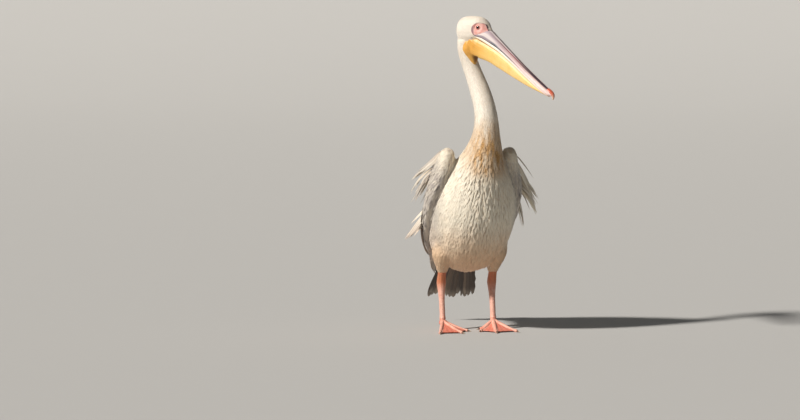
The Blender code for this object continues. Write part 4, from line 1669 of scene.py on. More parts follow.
@dataclass
class Coat:
    """The plumage that lies on the skin, in pieces by region.

    Columns of the size table: least distance between roots, length, half width, height of the tip over the
    skin, and thickness, in millimetres. Rows go with the spine's, from the tail to the forehead.
    """

    skin: Skin
    pouch: Ground
    seed: int = 7
    lock_size: float = 0.0095  # the least distance between two locks of tufts
    pouch_gap: float = 0.0060  # how far under the pouch a root may still lie
    head_start: float = 14.4  # the row of the spine where the head's down begins
    bare_edge: float = 0.30  # the share of bare skin from which no feather grows
    meeting_edge: float = 0.75  # how near to the line between wing and trunk feathers grow
    thigh_end: float = 0.203  # how low the thighs' feathers grow
    thigh_spacing: float = 0.0034
    at_once: int = 4000  # how many points are handled together, to save memory
    sizes: tuple = (
        (5.6, 40.0, 4.2, 3.6, 0.4), (5.6, 40.0, 4.2, 3.6, 0.4), (5.4, 40.0, 4.0, 3.4, 0.4),
        (4.8, 34.0, 3.5, 3.6, 0.38), (4.3, 31.0, 3.1, 3.8, 0.36), (4.0, 29.0, 2.8, 3.8, 0.34),
        (3.8, 27.0, 2.5, 3.5, 0.32), (3.4, 25.0, 2.2, 3.0, 0.30), (3.0, 21.0, 1.8, 2.3, 0.26),
        (2.7, 17.0, 1.45, 1.6, 0.23), (2.5, 15.0, 1.25, 1.3, 0.22), (2.4, 13.0, 1.15, 1.1, 0.20),
        (2.3, 12.0, 1.1, 1.0, 0.19), (2.2, 11.0, 1.0, 0.9, 0.18), (2.0, 10.0, 0.9, 0.8, 0.17),
        (1.7, 8.5, 0.78, 0.65, 0.16), (1.55, 7.5, 0.68, 0.55, 0.15), (1.4, 6.2, 0.58, 0.5, 0.14),
        (1.35, 4.8, 0.52, 0.45, 0.14),
    )

    def __post_init__(self) -> None:
        """Prepares the flow lines."""
        self.random = np.random.default_rng(self.seed)
        self.line, self.way, _ = ANATOMY.spine_line(160)

    def flow(self, points: Array, normals: Array) -> Array:
        """The lie of the feathers on head, neck and trunk: away from the bill and towards the tail.

        Args:
            points: Where, one row each.
            normals: The skin's normals there.

        Returns:
            The way that a feather grows at each point, along the skin.
        """
        ways = np.empty_like(points)
        for start in range(0, len(points), self.at_once):
            part = slice(start, start + self.at_once)
            apart = np.linalg.norm(points[part, None] - self.line[None], axis=-1)
            least = apart.min(1, keepdims=True)
            ways[part] = hump(apart, least, 0.22 * least + 0.004) @ self.way
        head = self.skin.head_share(points)[:, None]
        back = np.array(ANATOMY.head().to_3x3() @ Vector((0, 0.92, -0.38)))
        return flatten(unit(ways) * (1 - 0.75 * head) + back * 0.75 * head, normals)

    def roots(self, wanted: Array, spacing: Array) -> Roots:
        """Spreads roots over part of the skin.

        Args:
            wanted: Which points of the skin take part.
            spacing: The least distance at each of them.

        Returns:
            The roots.
        """
        places, faces = self.skin.ground.scattered(spacing, wanted, self.random)
        near, lie, _ = self.pouch.nearest(places)
        free = dots(places - near, lie)[:, 0] > -self.pouch_gap
        places, faces = places[free], faces[free]
        ground, skin = self.skin.ground, self.skin
        spread = skin.station, skin.wing_place, skin.marks
        held = (ground.blended(values, places, faces) for values in spread)
        patch = (skin.unwrap[faces] * ground.weights(places, faces)[..., None]).sum(1)
        return Roots(places, ground.smooth(places, faces), faces, *held, patch)

    def laid(
        self,
        cut: Cut,
        roots: Roots,
        ways: Array,
        length: Array,
        rise: Array,
        flow: Callable[[Array, Array], Array] | None = None,
        deep: float = 0.0012,
        curve: float = 0.85,
    ) -> tuple[Array, Array]:
        """Lays feathers along the skin.

        Args:
            cut: The kind of feather.
            roots: Where they grow.
            ways: The way that each sets off.
            length: How long each is.
            rise: How high each tip stands over the skin.
            flow: What each half follows from station to station, if anything.
            deep: How far under the skin each starts.
            curve: The power by which it rises along its length.

        Returns:
            Each feather's path and the way off the body along it, by feather, station and axis.
        """
        point, lie, way = roots.places, roots.normals, ways
        path, lies = [point - lie * deep], [lie]
        for before, share in zip(cut.stations, cut.stations[1:]):
            point, lie, _ = self.skin.ground.nearest(point + way * (length * (share - before))[:, None])
            way = flatten(way * 0.5 + flow(point, lie) * 0.5 if flow else way, lie)
            path.append(point + lie * (rise * share**curve)[:, None])
            lies.append(lie)
        return np.stack(path, 1), np.stack(lies, 1)

    def clumped(self, roots: Roots, ways: Array, length: Array, rough: Array) -> tuple[Array, Array]:
        """Draws the tips of neighbouring tufts together into locks.

        Args:
            roots: Where the tufts grow.
            ways: The way that each would grow.
            length: Each one's length.
            rough: How strongly each joins in, from 0 to 1.

        Returns:
            Each tuft's way and how many times its usual height its tip stands.
        """
        chance, count = self.random, len(roots.places)
        tips = roots.places + ways * length[:, None]
        ranked = tips[chance.permutation(count)].tolist()
        centres = [ranked[number] for number in thinned(ranked, [self.lock_size] * count)]
        locks = grown(centres)
        found = [locks.find(point) for point in tips.tolist()]
        centre = np.array([place for place, _, _ in found])
        height = chance.uniform(-0.35, 1.0, len(centres))[[number for _, number, _ in found]]
        pull = (0.78 * rough)[:, None]
        ways = flatten(ways * (1 - pull) + unit(centre - roots.places) * pull, roots.normals)
        return ways, 1 + 0.10 * chance.normal(0, 1, count) + 1.05 * rough * height

    def tufts(self, name: str, wanted: Array, cut: Cut, nodes: list[str], finish: Material) -> Object:
        """One piece of the coat of head, neck, trunk or thighs.

        Args:
            name: The piece's name.
            wanted: Which points of the skin it grows from.
            cut: The kind of tuft.
            nodes: The solids that it stands for.
            finish: Its material.

        Returns:
            The piece.
        """
        skin, chance = self.skin, self.random
        roots = self.roots(wanted, table(self.sizes, skin.station)[:, 0] * MM)
        size = table(self.sizes, roots.station) * MM
        count = len(roots.places)
        front = ease(roots.normals[:, 1], 0.25, -0.35) * ease(roots.places[:, 2], 0.78, 0.52)
        middle = ease(np.abs(roots.places[:, 0] - 0.008), 0.100, 0.035)
        rough = front * (0.12 + 0.88 * middle)
        angle = chance.normal(0, 0.07, count) + 0.05 * ripple(roots.places, 0.03, 21)
        ways = roots.turned(self.flow(roots.places, roots.normals), angle)
        face = skin.ground.blended(skin.face[:, 0], roots.places, roots.faces)
        short = 1 - 0.45 * ease(face, 0.0, 0.3)
        length = size[:, 1] * chance.uniform(0.86, 1.12, count) * short
        ways, lift = self.clumped(roots, ways, length, rough)
        path, lie = self.laid(cut, roots, ways, length, size[:, 3] * lift * short)
        width = size[:, 2] * chance.uniform(0.85, 1.15, count) * (1 - 0.18 * rough)
        bunch = Bunch(cut, path, lie, width, size[:, 4], roots.marks, chance.random(count), roots.patch)
        return self.piece(name, bunch, nodes, finish, chance)

    def piece(
        self,
        name: str,
        bunch: Bunch,
        nodes: list[str],
        finish: Material,
        chance: np.random.Generator,
        slot: str = "plumage",
    ) -> Object:
        """Makes a piece of the coat and ties it to the body and its solids.

        Args:
            name: The piece's name.
            bunch: Its feathers; those with no patch of the unwrap take the one under their roots.
            nodes: The solids that it stands for.
            finish: Its material.
            chance: The source of chance.
            slot: Not used.

        Returns:
            The piece.
        """
        if bunch.patch is None:
            bunch.patch = self.skin.unwrap[self.skin.ground.nearest(bunch.path[:, 0])[2]].mean(1)
        made = finished(bunch.shell(chance), name, finish, nodes)
        made.data.set_sharp_from_angle(angle=VANE_EDGE)  # so that a vane looks flat and thin
        return made

    def body(self, finish: Material) -> None:
        """The coat of head, neck, trunk and thighs.

        Args:
            finish: Their material.
        """
        skin = self.skin
        region, points = skin.region, skin.ground.shell.points
        bare = skin.face[:, 0] > self.bare_edge
        clear = skin.meeting < self.meeting_edge
        head = (skin.station > self.head_start) & (region != Region.TRUNK) & ~bare
        neck = np.isin(region, (Region.NECK, Region.HEAD)) & ~head & ~bare
        trunk = (region == Region.TRUNK) & clear
        front = trunk & (skin.ground.normals[:, 1] < 0.12)
        thigh = (region == Region.THIGH) & (points[:, 2] > self.thigh_end)
        self.tufts("coat_head", head, DOWN, ["head"], finish)
        self.tufts("coat_neck", neck, TUFT, ["neck_lower", "neck_middle", "neck_upper"], finish)
        self.tufts("coat_front", front, TUFT, ["trunk"], finish)
        self.tufts("coat_rear", trunk & ~front, TUFT, ["trunk"], finish)
        self.thighs(thigh, finish)

    def thighs(self, wanted: Array, finish: Material) -> None:
        """The short feathers that lie down the thighs and thin out over the bare legs.

        Args:
            wanted: Which points of the skin they grow from.
            finish: Their material.
        """
        chance = self.random
        roots = self.roots(wanted, np.full(len(self.skin.station), self.thigh_spacing))
        count = len(roots.places)
        low = ease(roots.places[:, 2], 0.29, 0.205)
        down = flatten(np.broadcast_to(np.array([0.0, 0.10, -1.0]), roots.places.shape), roots.normals)
        ways = roots.turned(down, chance.normal(0, 0.14, count))
        length = (0.024 - 0.010 * low) * chance.uniform(0.85, 1.15, count)
        path, lie = self.laid(TUFT, roots, ways, length, 0.0046 - 0.0026 * low)
        width = (0.0024 - 0.0010 * low) * chance.uniform(0.85, 1.15, count)
        bunch = Bunch(TUFT, path, lie, width, 0.0003, roots.marks, chance.random(count), roots.patch)
        self.piece("coat_thighs", bunch, ["thigh_left", "thigh_right"], finish, chance)


@dataclass
class WingFeathers:
    """One folded wing's feathers: small coverts on the wrist, longer ones behind, then the long quills.

    The size table has a row for each row of the wing's line: spacing, length, half width, tip height and
    thickness in millimetres.
    """

    coat: Coat
    side: Side
    sizes: tuple = (
        (3.4, 14.0, 1.9, 2.6, 0.30), (3.7, 17.0, 2.2, 3.2, 0.30), (4.4, 23.0, 2.8, 4.2, 0.35),
        (7.4, 44.0, 5.0, 5.0, 0.45), (10.0, 80.0, 6.6, 6.2, 0.50), (11.0, 112.0, 7.4, 7.0, 0.50),
        (12.5, 126.0, 7.6, 7.4, 0.50), (13.5, 128.0, 7.6, 7.4, 0.50), (16.0, 100.0, 8.0, 7.0, 0.60),
        (16.0, 100.0, 8.0, 7.0, 0.60),
    )
    last_root: float = 6.7  # the last place on the wing's line where a covert is rooted
    end: float = 9.1  # the place that no covert reaches past
    row_length: float = 0.0735  # from one row of the wing's line to the next
    strand_points: int = 40  # how finely a quill's way along the wing is worked out
    fan: float = 0.10 / 0.09  # how far coverts turn off the wing's line, in radians for each metre above it

    def __post_init__(self) -> None:
        """Prepares the wing's line."""
        self.random = np.random.default_rng(31 + self.side)
        self.steps = np.linspace(0, 9, 91)
        self.middle, self.way, _, self.up, _ = ANATOMY.wing_rings(self.steps, self.side)

    def flow(self, points: Array, normals: Array) -> Array:
        """The way to the wing's tip at each point, along the skin.

        Args:
            points: One row each.
            normals: The skin's normals there.

        Returns:
            One way for each point.
        """
        apart = np.linalg.norm(points[:, None] - self.middle[None], axis=-1)
        weight = hump(apart, apart.min(1, keepdims=True), 0.02)
        back = ease(self.steps[apart.argmin(1)], 0.2, 2.2)[:, None]
        down = np.array([self.side * 0.60, 0.25, -0.75])
        return flatten(unit(weight @ self.way) * back + down * (1 - back), normals)

    def build(self, finish: Material, quills: Material) -> None:
        """Makes the wing's coverts, its flight feathers and the plumes that stand off it.

        Args:
            finish: The material of the soft feathers.
            quills: That of the stiff ones.
        """
        self.coverts(finish)
        self.flight(quills)
        self.plumes(finish)

    def coverts(self, finish: Material) -> None:
        """The small and middling feathers over the wing.

        Args:
            finish: Their material.
        """
        skin, chance = self.coat.skin, self.random
        mine = (skin.region == Region.WING) & (skin.side == self.side)
        mine = mine & (skin.meeting < self.coat.meeting_edge)
        parts = {"small": (0.0, 2.6, TUFT), "large": (2.6, self.last_root, COVERT)}
        for part, (start, end, cut) in parts.items():
            wanted = mine & (skin.wing_place >= start - 0.12) & (skin.wing_place <= end)
            roots = self.coat.roots(wanted, table(self.sizes, skin.wing_place)[:, 0] * MM)
            count = len(roots.places)
            size = table(self.sizes, roots.wing_place) * MM
            middle, up = (sampled(rows, self.steps, roots.wing_place) for rows in (self.middle, self.up))
            fan = self.fan * ((roots.places - middle) * up).sum(1)
            angle = chance.normal(0, 0.07, count) + 0.10 * ripple(roots.places, 0.06, 23)
            ways = roots.turned(self.flow(roots.places, roots.normals), angle + fan * self.side)
            left = (self.end - roots.wing_place) * self.row_length
            length = np.minimum(size[:, 1] * chance.uniform(0.82, 1.15, count), left)
            stand = size[:, 3] * (1 + 0.18 * chance.normal(0, 1, count))
            path, lie = self.coat.laid(cut, roots, ways, length, stand, flow=self.flow, deep=MM, curve=0.8)
            width = size[:, 2] * chance.uniform(0.8, 1.15, count)
            marks, ragged = self.covert_marks(roots), 0.0 if part == "small" else 0.25
            tone = chance.random(count)
            bunch = Bunch(cut, path, lie, width, size[:, 4], marks, tone, roots.patch, ragged=ragged)
            names = [f"wing_{self.side.word}_wrist", f"wing_{self.side.word}_forearm"]
            self.coat.piece(f"coverts_{self.side.word}_{part}", bunch, names, finish, chance)

    def covert_marks(self, roots: Roots) -> Array:
        """Coverts are white at the wrist and silvery behind, partly their own grey and partly painted shade,
        and none of them is black.

        Args:
            roots: Where the coverts grow.

        Returns:
            One row of marks for each.
        """
        marks = roots.marks.copy()
        marks[:, 2] = 0.0
        marks[:, 1] = 0.92 * ease(roots.wing_place, 0.7, 2.4) * self.random.uniform(0.55, 1.0, len(marks))
        return marks

    def strand(self, start: float, end: float, out: tuple, rise: tuple, count: int) -> tuple[Array, Array]:
        """A path along the wing, off its middle line.

        Args:
            start: The root's place along the wing.
            end: The tip's place.
            out: How far outward root and tip lie, in half thicknesses.
            rise: How far to the back, in half depths; less than 0 is towards the belly.
            count: How many points.

        Returns:
            The points and the way off the wing at each.
        """
        share = np.linspace(0, 1, count)
        places = start + (end - start) * share
        middle, _, outward, up, half = ANATOMY.wing_rings(places, self.side)
        across = (out[0] + (out[1] - out[0]) * share) * half[:, 0]
        reach = rise[0] + (rise[1] - rise[0]) * share
        depth = np.where(reach > 0, reach * half[:, 1], reach * half[:, 2])
        return middle + outward * across[:, None] + up * depth[:, None], outward

    def flight(self, finish: Material) -> None:
        """Black primaries and secondaries that show under the pale tertials, and the tertials over them.

        Args:
            finish: Their material.
        """
        chance, rows = self.random, []
        for share in (number / 8 for number in range(9)):
            out, rise = (0.20, 0.20 + 0.4 * share), (-0.60, -0.60 + 0.9 * share)
            rows.append((4.9 + 0.4 * share, 7.1 + 1.75 * share, out, rise, 0.0105, 1.0))
        for share in (number / 7 for number in range(8)):
            rise = (-0.60 + 0.12 * share, -0.62 + 0.5 * share)
            rows.append((3.6 + 0.4 * share, 6.2 + 1.2 * share, (0.15, 0.25), rise, 0.0105, 0.85))
        for number in range(17):
            share = number / 16
            rise = (-0.72 + 1.42 * share, -0.76 + 1.6 * share)
            spread = 0.62 + 0.20 * math.sin(math.pi * share)
            rows.append((3.9 + 0.5 * (number % 2), 6.9 + 1.4 * share, (0.62, spread), rise, 0.0095, 0.0))
        strands = [self.strand(*row[:4], self.strand_points) for row in rows]
        even = np.linspace(0, 1, self.strand_points)
        path, lie = (np.array([sampled(row, even, QUILL.stations) for row in rows]) for rows in zip(*strands))
        marks = np.array([(0.0, 0.35 + 0.35 * chance.random(), row[5]) for row in rows])
        width = np.array([row[4] for row in rows]) * chance.uniform(0.92, 1.08, len(rows))
        bunch = Bunch(QUILL, path, lie, width, 0.0007, marks, chance.random(len(rows)), ragged=0.18)
        names = [f"wing_{self.side.word}_quills"]
        self.coat.piece(f"flight_{self.side.word}", bunch, names, finish, chance, "quills")

    def plumes(self, finish: Material) -> None:
        """The long loose scapulars that stand off the wing, each with thinner ones beside it.

        Args:
            finish: Their material.
        """
        chance, sign = self.random, self.side
        names = [f"wing_{self.side.word}_plume_{number}" for number in range(1, 5)]
        paths, widths = [], []
        shares = np.array(LANCE.stations)[:, None]
        for name in names:
            points = node_shell(name).points
            points = points[np.argsort(points[:, 1])]
            root, tip = points[:6].mean(0), points[-6:].mean(0)
            share = (points[:, 1] - points[0, 1]) / (points[-1, 1] - points[0, 1])
            bow = points[np.abs(share - 0.5) < 0.2].mean(0) - (root + tip) / 2
            wide, start = (0.0100 if np.linalg.norm(tip - root) > 0.13 else 0.0062), 0.16
            if root[2] < 0.46:  # the broad one that hangs over the flank
                wide, start = 0.0165, 1.30
            for number in range(6):
                stray = chance.normal(0, 0.010, 3) * (number > 0) * np.array([0.5, 1.0, 1.0])
                reach = 1.14 if number == 0 else chance.uniform(0.80, 1.12)
                begin = root - (tip - root) * start + stray * 0.6
                end = root + (tip - root) * reach + stray * 1.5
                sway = np.array([sign * 0.004, 0, 0]) * chance.normal(0, 1)
                paths.append(begin + (end - begin) * shares + (bow * 1.3 + sway) * np.sin(math.pi * shares))
                widths.append(wide * (1.0 if number == 0 else chance.uniform(0.45, 0.85)))
        path, total = np.array(paths), len(paths)
        lie = np.broadcast_to(unit(np.array([sign * 1.0, -0.5, 0.15])), path.shape)
        # the right wing's plumes get more silver grey than the left's: painted shade on the right side
        marks = np.tile((0.0, 0.30 - 0.12 * sign, 0.0), (total, 1))
        marks[:, 1] += chance.uniform(-0.20, 0.35, total)
        bunch = Bunch(LANCE, path, lie, np.array(widths), 0.0006, marks, chance.random(total), camber=0.12)
        bunch.ragged, bunch.twist = 0.22, chance.normal(0, 0.35, total)
        self.coat.piece(f"plumes_{self.side.word}", bunch, names, finish, chance)


@dataclass
class Tail:
    """A fan of broad greyish tail feathers in two layers, with worn ends, painted near black, partly as
    painted shade under the body.
    """

    coat: Coat
    rows: tuple = (  # middle line and half width of the fan, from its root to its end
        (0.205, 0.222, 0.040), (0.235, 0.190, 0.052), (0.275, 0.145, 0.066), (0.318, 0.096, 0.078),
        (0.366, 0.043, 0.086),
    )
    count: int = 13

    def build(self, finish: Material) -> Object:
        """Makes the fan.

        Args:
            finish: Its material.

        Returns:
            The fan's object.
        """
        chance = np.random.default_rng(53)
        shift = np.array(ANATOMY.shift())
        shares = np.array(QUILL.stations)
        off = unit(np.array([0.0, 0.745, 0.667]))
        paths, lies, widths = [], [], []
        for layer, (height, inset) in enumerate(((0.0035, 0.0), (-0.0030, 0.02), (0.0065, 0.35))):
            for number in range(self.count):
                spread = -1 + 2 * number / (self.count - 1)
                if layer == 2 and abs(spread) > 0.75:
                    continue
                end = 4 * (1 - inset) - 0.35 * chance.random() - 0.25 * abs(spread) ** 3
                y, z, half = table(self.rows, shares * end).T
                x = spread * half * (0.93 + 0.02 * chance.normal())
                arch = 0.006 * (1 - spread**2) * (1 if layer != 1 else 0.4)
                lift = height * (1 - 0.6 * shares) + arch - 0.0012 * abs(spread)
                line = np.stack([x, y, z], 1) + shift + off * lift[:, None]
                paths.append(line)
                lies.append(np.broadcast_to(off if layer != 1 else -off, line.shape))
                widths.append((0.0115 if layer < 2 else 0.0095) * chance.uniform(0.9, 1.1))
        path, lie, width, total = np.array(paths), np.array(lies), np.array(widths), len(paths)
        # mostly black: partly painted shade under the body, over the feathers' own grey
        marks = np.tile((0.0, 0.30, 0.90), (total, 1))
        marks[:, 1] += chance.uniform(-0.2, 0.2, total)
        marks[:, 2] += chance.uniform(-0.18, 0.10, total)
        bunch = Bunch(QUILL, path, lie, width, 0.0008, marks, chance.random(total), ragged=0.55)
        return self.coat.piece("tail_fan", bunch, ["tail"], finish, chance, "quills")


# ---- Bill, pouch and eyes.


def finished(shell: Shell, name: str, finish: Material, nodes: list[str]) -> Object:
    """Makes a piece, dresses it and ties it to the body and its solids.

    Args:
        shell: Its shape, in the shared frame.
        name: Its name.
        finish: Its material.
        nodes: The solids that it stands for.

    Returns:
        The piece.
    """
    made = shell.made(name)
    made.data.materials.append(finish)
    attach(made, "root")
    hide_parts(*nodes)
    LOG.info("%s: %d triangles", name, len(shell.triangles()))
    return made


@dataclass(frozen=True)
class Bill:
    """The upper mandible with its ridge, grooves and nail, and the thin lower one.

    The upper rows give: along, half width, top and bottom edge; the lower ones: along, outward, down and
    half height of one side.
    """

    upper_rows: tuple = (
        (-0.036, 0.0330, -0.0330, -0.0490), (-0.018, 0.0310, -0.0170, -0.0430),
        (0.000, 0.0280, -0.002, -0.0375), (0.035, 0.0245, -0.002, -0.0285),
        (0.080, 0.0215, -0.003, -0.0205), (0.140, 0.0192, -0.0035, -0.0170),
        (0.200, 0.0185, -0.003, -0.0155), (0.260, 0.0188, -0.0005, -0.0130),
        (0.305, 0.0178, 0.0020, -0.0105), (0.330, 0.0130, 0.0035, -0.0090),
        (0.3415, 0.0070, 0.0035, -0.0070),
    )
    lower_rows: tuple = (
        (-0.022, 0.0300, -0.0468, 0.0012), (0.000, 0.0280, -0.0388, 0.0040),
        (0.035, 0.0242, -0.0318, 0.0046), (0.080, 0.0212, -0.0238, 0.0044),
        (0.140, 0.0191, -0.0201, 0.0042), (0.200, 0.0183, -0.0183, 0.0040),
        (0.260, 0.0181, -0.0156, 0.0036), (0.305, 0.0158, -0.0128, 0.0030),
        (0.328, 0.0095, -0.0116, 0.0026), (0.336, 0.0000, -0.0110, 0.0024),
    )
    nail_rows: tuple = (  # along and up, half width and half thickness
        (0.3160, 0.0035, 0.0085, 0.0030), (0.3300, 0.0030, 0.0092, 0.0050),
        (0.3420, 0.0010, 0.0072, 0.0052), (0.3500, -0.0050, 0.0046, 0.0036),
        (0.3530, -0.0125, 0.0020, 0.0018),
    )
    stations: int = 190  # rings along the upper mandible
    lower_stations: int = 120
    nail_stations: int = 48
    ridge_height: float = 0.0013
    groove_depth: float = 0.0011
    rim_height: float = 0.0007
    strip_thickness: float = 0.0023  # half that of the lower mandible's strips
    grain: float = 0.00018  # how far the horn's surface waves

    def build(self) -> None:
        """Makes the bill's three pieces."""
        self.upper()
        self.lower()
        self.nail()

    def upper(self) -> Object:
        """The upper mandible: a flat-topped blade with a raised ridge down its middle.

        Returns:
            The piece.
        """
        places = np.linspace(0, len(self.upper_rows) - 1, self.stations)
        along, half, top, bottom = table(self.upper_rows, places).T
        over = np.linspace(-1, 1, 45)
        under = np.linspace(1, -1, 21)[1:-1]
        share = np.clip(along / self.upper_rows[-1][0], 0, 1)[:, None]
        thick = (top - bottom)[:, None]
        grown = ease(along, 0.0, 0.05)[:, None] * (1 - 0.6 * ease(along, 0.29, 0.34)[:, None])
        ridge = self.ridge_height * hump(over, 0.0, 0.20) * grown
        groove = self.groove_depth * hump(np.abs(over), 0.36, 0.085) * grown
        rim = self.rim_height * hump(np.abs(over), 0.80, 0.08) * grown
        fall = thick * np.abs(over) ** (2.5 + 1.6 * share)
        height = top[:, None] - fall * 0.93 + ridge - groove + rim
        place = np.stack(np.broadcast_arrays(along[:, None] * 40, over * 1.5, 0.0), -1)
        height = height + self.grain * ripple(place, 2.4, 41) * grown
        width = half[:, None] * np.sign(over) * np.abs(over) ** 0.86
        low = bottom[:, None] + thick * 0.10 + thick * 0.20 * (1 - under**2)
        upper = np.stack(np.broadcast_arrays(width, -along[:, None], height), -1)
        sole = np.stack(np.broadcast_arrays(half[:, None] * under * 0.94, -along[:, None], low), -1)
        rings = np.concatenate([upper, sole], 1)
        across = np.concatenate([over, np.sign(under) * 0.97])
        shell = horned(placed(rings, ANATOMY.bill()), share[:, 0], across, np.abs(across), flip=True)
        return finished(shell, "upper_mandible", BillHorn("bill_horn").material(), ["bill_upper"])

    def lower(self) -> Object:
        """The lower mandible: a thin springy strip down each side that turns round at the tip.

        Returns:
            The piece.
        """
        places = np.linspace(0, len(self.lower_rows) - 1, self.lower_stations)
        along, out, down, half = table(self.lower_rows, places).T
        left = np.stack([out, -along, down], 1)
        line = np.concatenate([left, left[-2::-1] * np.array([-1, 1, 1])])
        half = np.concatenate([half, half[-2::-1]])
        share = np.concatenate([along, along[-2::-1]]) / along.max()
        way = unit(np.gradient(line, axis=0))
        side = unit(np.cross(way, np.array([0.0, 0, 1.0])))
        up = np.cross(side, way)
        spin = loop(20)
        across, height = squared(spin, 0.7, 0.8)
        dent = 1 - 0.30 * hump(height, -0.15, 0.22) * (np.abs(across) > 0.5)
        thick = np.minimum(half / 1.8, self.strip_thickness)[:, None]
        rings = swept(line, side, up, thick * (across * dent), half[:, None] * height)
        shell = horned(placed(rings, ANATOMY.bill()), share, across, height, 0.0, flip=True)
        return finished(shell, "lower_mandible", RimHorn().material(), ["bill_lower"])

    def nail(self) -> Object:
        """The hooked nail over the bill's tip.

        Returns:
            The piece.
        """
        places = np.linspace(0, len(self.nail_rows) - 1, self.nail_stations)
        along, height, half, thick = table(self.nail_rows, places).T
        middle = np.stack([np.zeros_like(along), -along, height], 1)
        side = np.tile((1.0, 0.0, 0.0), (len(middle), 1))
        up = np.cross(side, unit(np.gradient(middle, axis=0)))
        spin = loop(28)
        keel = 1 + 0.16 * hump(spin, math.pi / 2, 0.35)
        rings = swept(middle, side, up, half[:, None] * np.cos(spin), thick[:, None] * (np.sin(spin) * keel))
        rings = placed(rings, ANATOMY.bill())
        shell = horned(rings, np.linspace(0, 1, len(rings)), np.cos(spin), np.sin(spin))
        finish = HookHorn("nail_horn", "D46A50", "F1CDB2").material()
        return finished(shell, "nail", finish, ["bill_nail"])


@dataclass(frozen=True)
class Pouch:
    """The bare bag under the bill: stretched along the lower mandible, with fine long folds.

    Rows give: along, half width, top and bottom. Its round rear end hangs before the upper neck.
    """

    rows: tuple = (
        (-0.040, 0.0300, -0.055, -0.106), (-0.010, 0.0285, -0.045, -0.112),
        (0.020, 0.0256, -0.036, -0.105), (0.060, 0.0230, -0.0275, -0.0885),
        (0.105, 0.0210, -0.0230, -0.0775), (0.155, 0.0197, -0.0205, -0.0655),
        (0.205, 0.0190, -0.0190, -0.0530), (0.255, 0.0182, -0.0165, -0.0390),
        (0.295, 0.0156, -0.0142, -0.0255), (0.325, 0.0095, -0.0125, -0.0165),
    )
    throat: tuple = (0, -0.005, -0.052)
    throat_half_sizes: tuple = (0.034, 0.029, 0.051)
    voxel: float = 0.0016

    def build(self) -> Ground:
        """Makes the pouch.

        Returns:
            Its surface, for feathers to keep clear of.
        """
        spin = loop(48)
        along, half, top, bottom = table(self.rows, np.linspace(0, len(self.rows) - 1, 90)).T
        power = np.where(np.sin(spin) < 0, 2 / 4.4, 2 / 2.4)  # flat sides that turn in only at the lower edge
        out, up = squared(spin, power, power)
        wide = half[:, None] * out * (1 + 0.14 * np.minimum(up, 0))
        high = (top + bottom)[:, None] / 2 + (top - bottom)[:, None] / 2 * up
        rings = np.stack(np.broadcast_arrays(wide, -along[:, None], high), -1)
        bag = tube(placed(rings, ANATOMY.bill()))
        rear = ball(Vector(self.throat), self.throat_half_sizes)
        low = ease(rear.points[:, 2], -0.052, -0.112)[:, None]
        middle = np.array(self.throat) * np.array([1.0, 1.0, 0.0])
        narrow = (rear.points - middle) * (1 - 0.56 * low * np.array([1.0, 1.0, 0.0])) + middle
        rear.points = placed(narrow + low * np.array([0.0, -0.017, -0.006]), ANATOMY.head())
        shell = melted([bag, rear], self.voxel)
        shell.relax(10)
        self.crease(shell)
        finished(shell, "pouch_bag", PouchSkin().material(), ["pouch"])
        return Ground(shell)

    def crease(self, shell: Shell) -> None:
        """Folds the skin along the bill and round the throat, and notes where each point lies and how much
        painted shade it takes in the folds, the throat's pocket and the upper rear seam.

        Args:
            shell: The bag, which is changed.
        """
        x, y, z = seen_from(shell.points, ANATOMY.bill()).T
        along, rows = -y, np.array(self.rows)
        top, bottom = sampled(rows[:, 2:], rows[:, 0], along).T
        down = np.clip((top - z) / np.maximum(top - bottom, 0.004), 0, 1)
        wave = down * 9.0 + 0.14 * ripple(np.stack([along * 5, x, z * 3], 1), 0.12, 51)
        fine = np.sin(wave * 2 * math.pi)
        broad = np.sin(down * 3.2 * 2 * math.pi + 1.2 * ripple(shell.points, 0.09, 52))
        rear = ease(along, 0.03, -0.02)
        depth = np.clip((top - bottom) / 0.06, 0.15, 1) * ease(down, 0.03, 0.18)
        fold = depth * (0.00016 * fine + 0.00012 * broad * (1 + rear))
        fold = fold + rear * 0.0003 * np.sin((along * 260 + z * 90) + 1.5 * ripple(shell.points, 0.03, 53))
        _, behind, height = seen_from(shell.points, ANATOMY.head()).T
        pocket = ease(behind, -0.024, -0.030) * ease(behind, -0.056, -0.049) * ease(height, -0.074, -0.082)
        shell.points = shell.points + shell.normals() * (fold - 0.0010 * pocket)[:, None]
        # painted shade in the fine folds' hollows, in the throat's pocket and along the upper rear seam
        painted_fold_shade = np.clip(-fine, 0, 1) ** 2 * depth * (0.06 + 0.10 * rear)
        seam = 0.8 * ease(down, 0.07, 0.01) * ease(along, 0.05, 0.02)
        painted_fold_shade = np.maximum(painted_fold_shade, np.maximum(pocket, seam))
        shell.carried["bag"] = np.stack([along / 0.325, down, painted_fold_shade], 1)


@dataclass(frozen=True)
class Eyes:
    """Two eyeballs with a bulging cornea over a dark iris."""

    cornea: float = 0.0009  # how far the cornea stands off the ball

    def build(self) -> None:
        """Makes both eyes."""
        finish = EyeGloss().material()
        for side in Side:
            middle, look = ANATOMY.eye(side)
            radius = ANATOMY.eye_radius
            shell = ball(Vector((0, 0, 0)), (radius,) * 3, 40)
            angle = np.arccos(np.clip(shell.points[:, 2] / np.linalg.norm(shell.points, axis=1), -1, 1))
            shell.points = shell.points * (1 + self.cornea / radius * ease(angle, 0.72, 0.25))[:, None]
            quarter = angle / (math.pi / 2)
            shell.carried["gaze"] = np.stack([quarter, 0 * quarter, 0 * quarter], 1)
            facing = Vector(look).to_track_quat("Z", "Y").to_matrix().to_4x4()
            shell.points = placed(shell.points, Matrix.Translation(middle) @ facing)
            finished(shell, f"eyeball_{side.word}", finish, [f"eye_{side.word}"])


# ---- Legs.


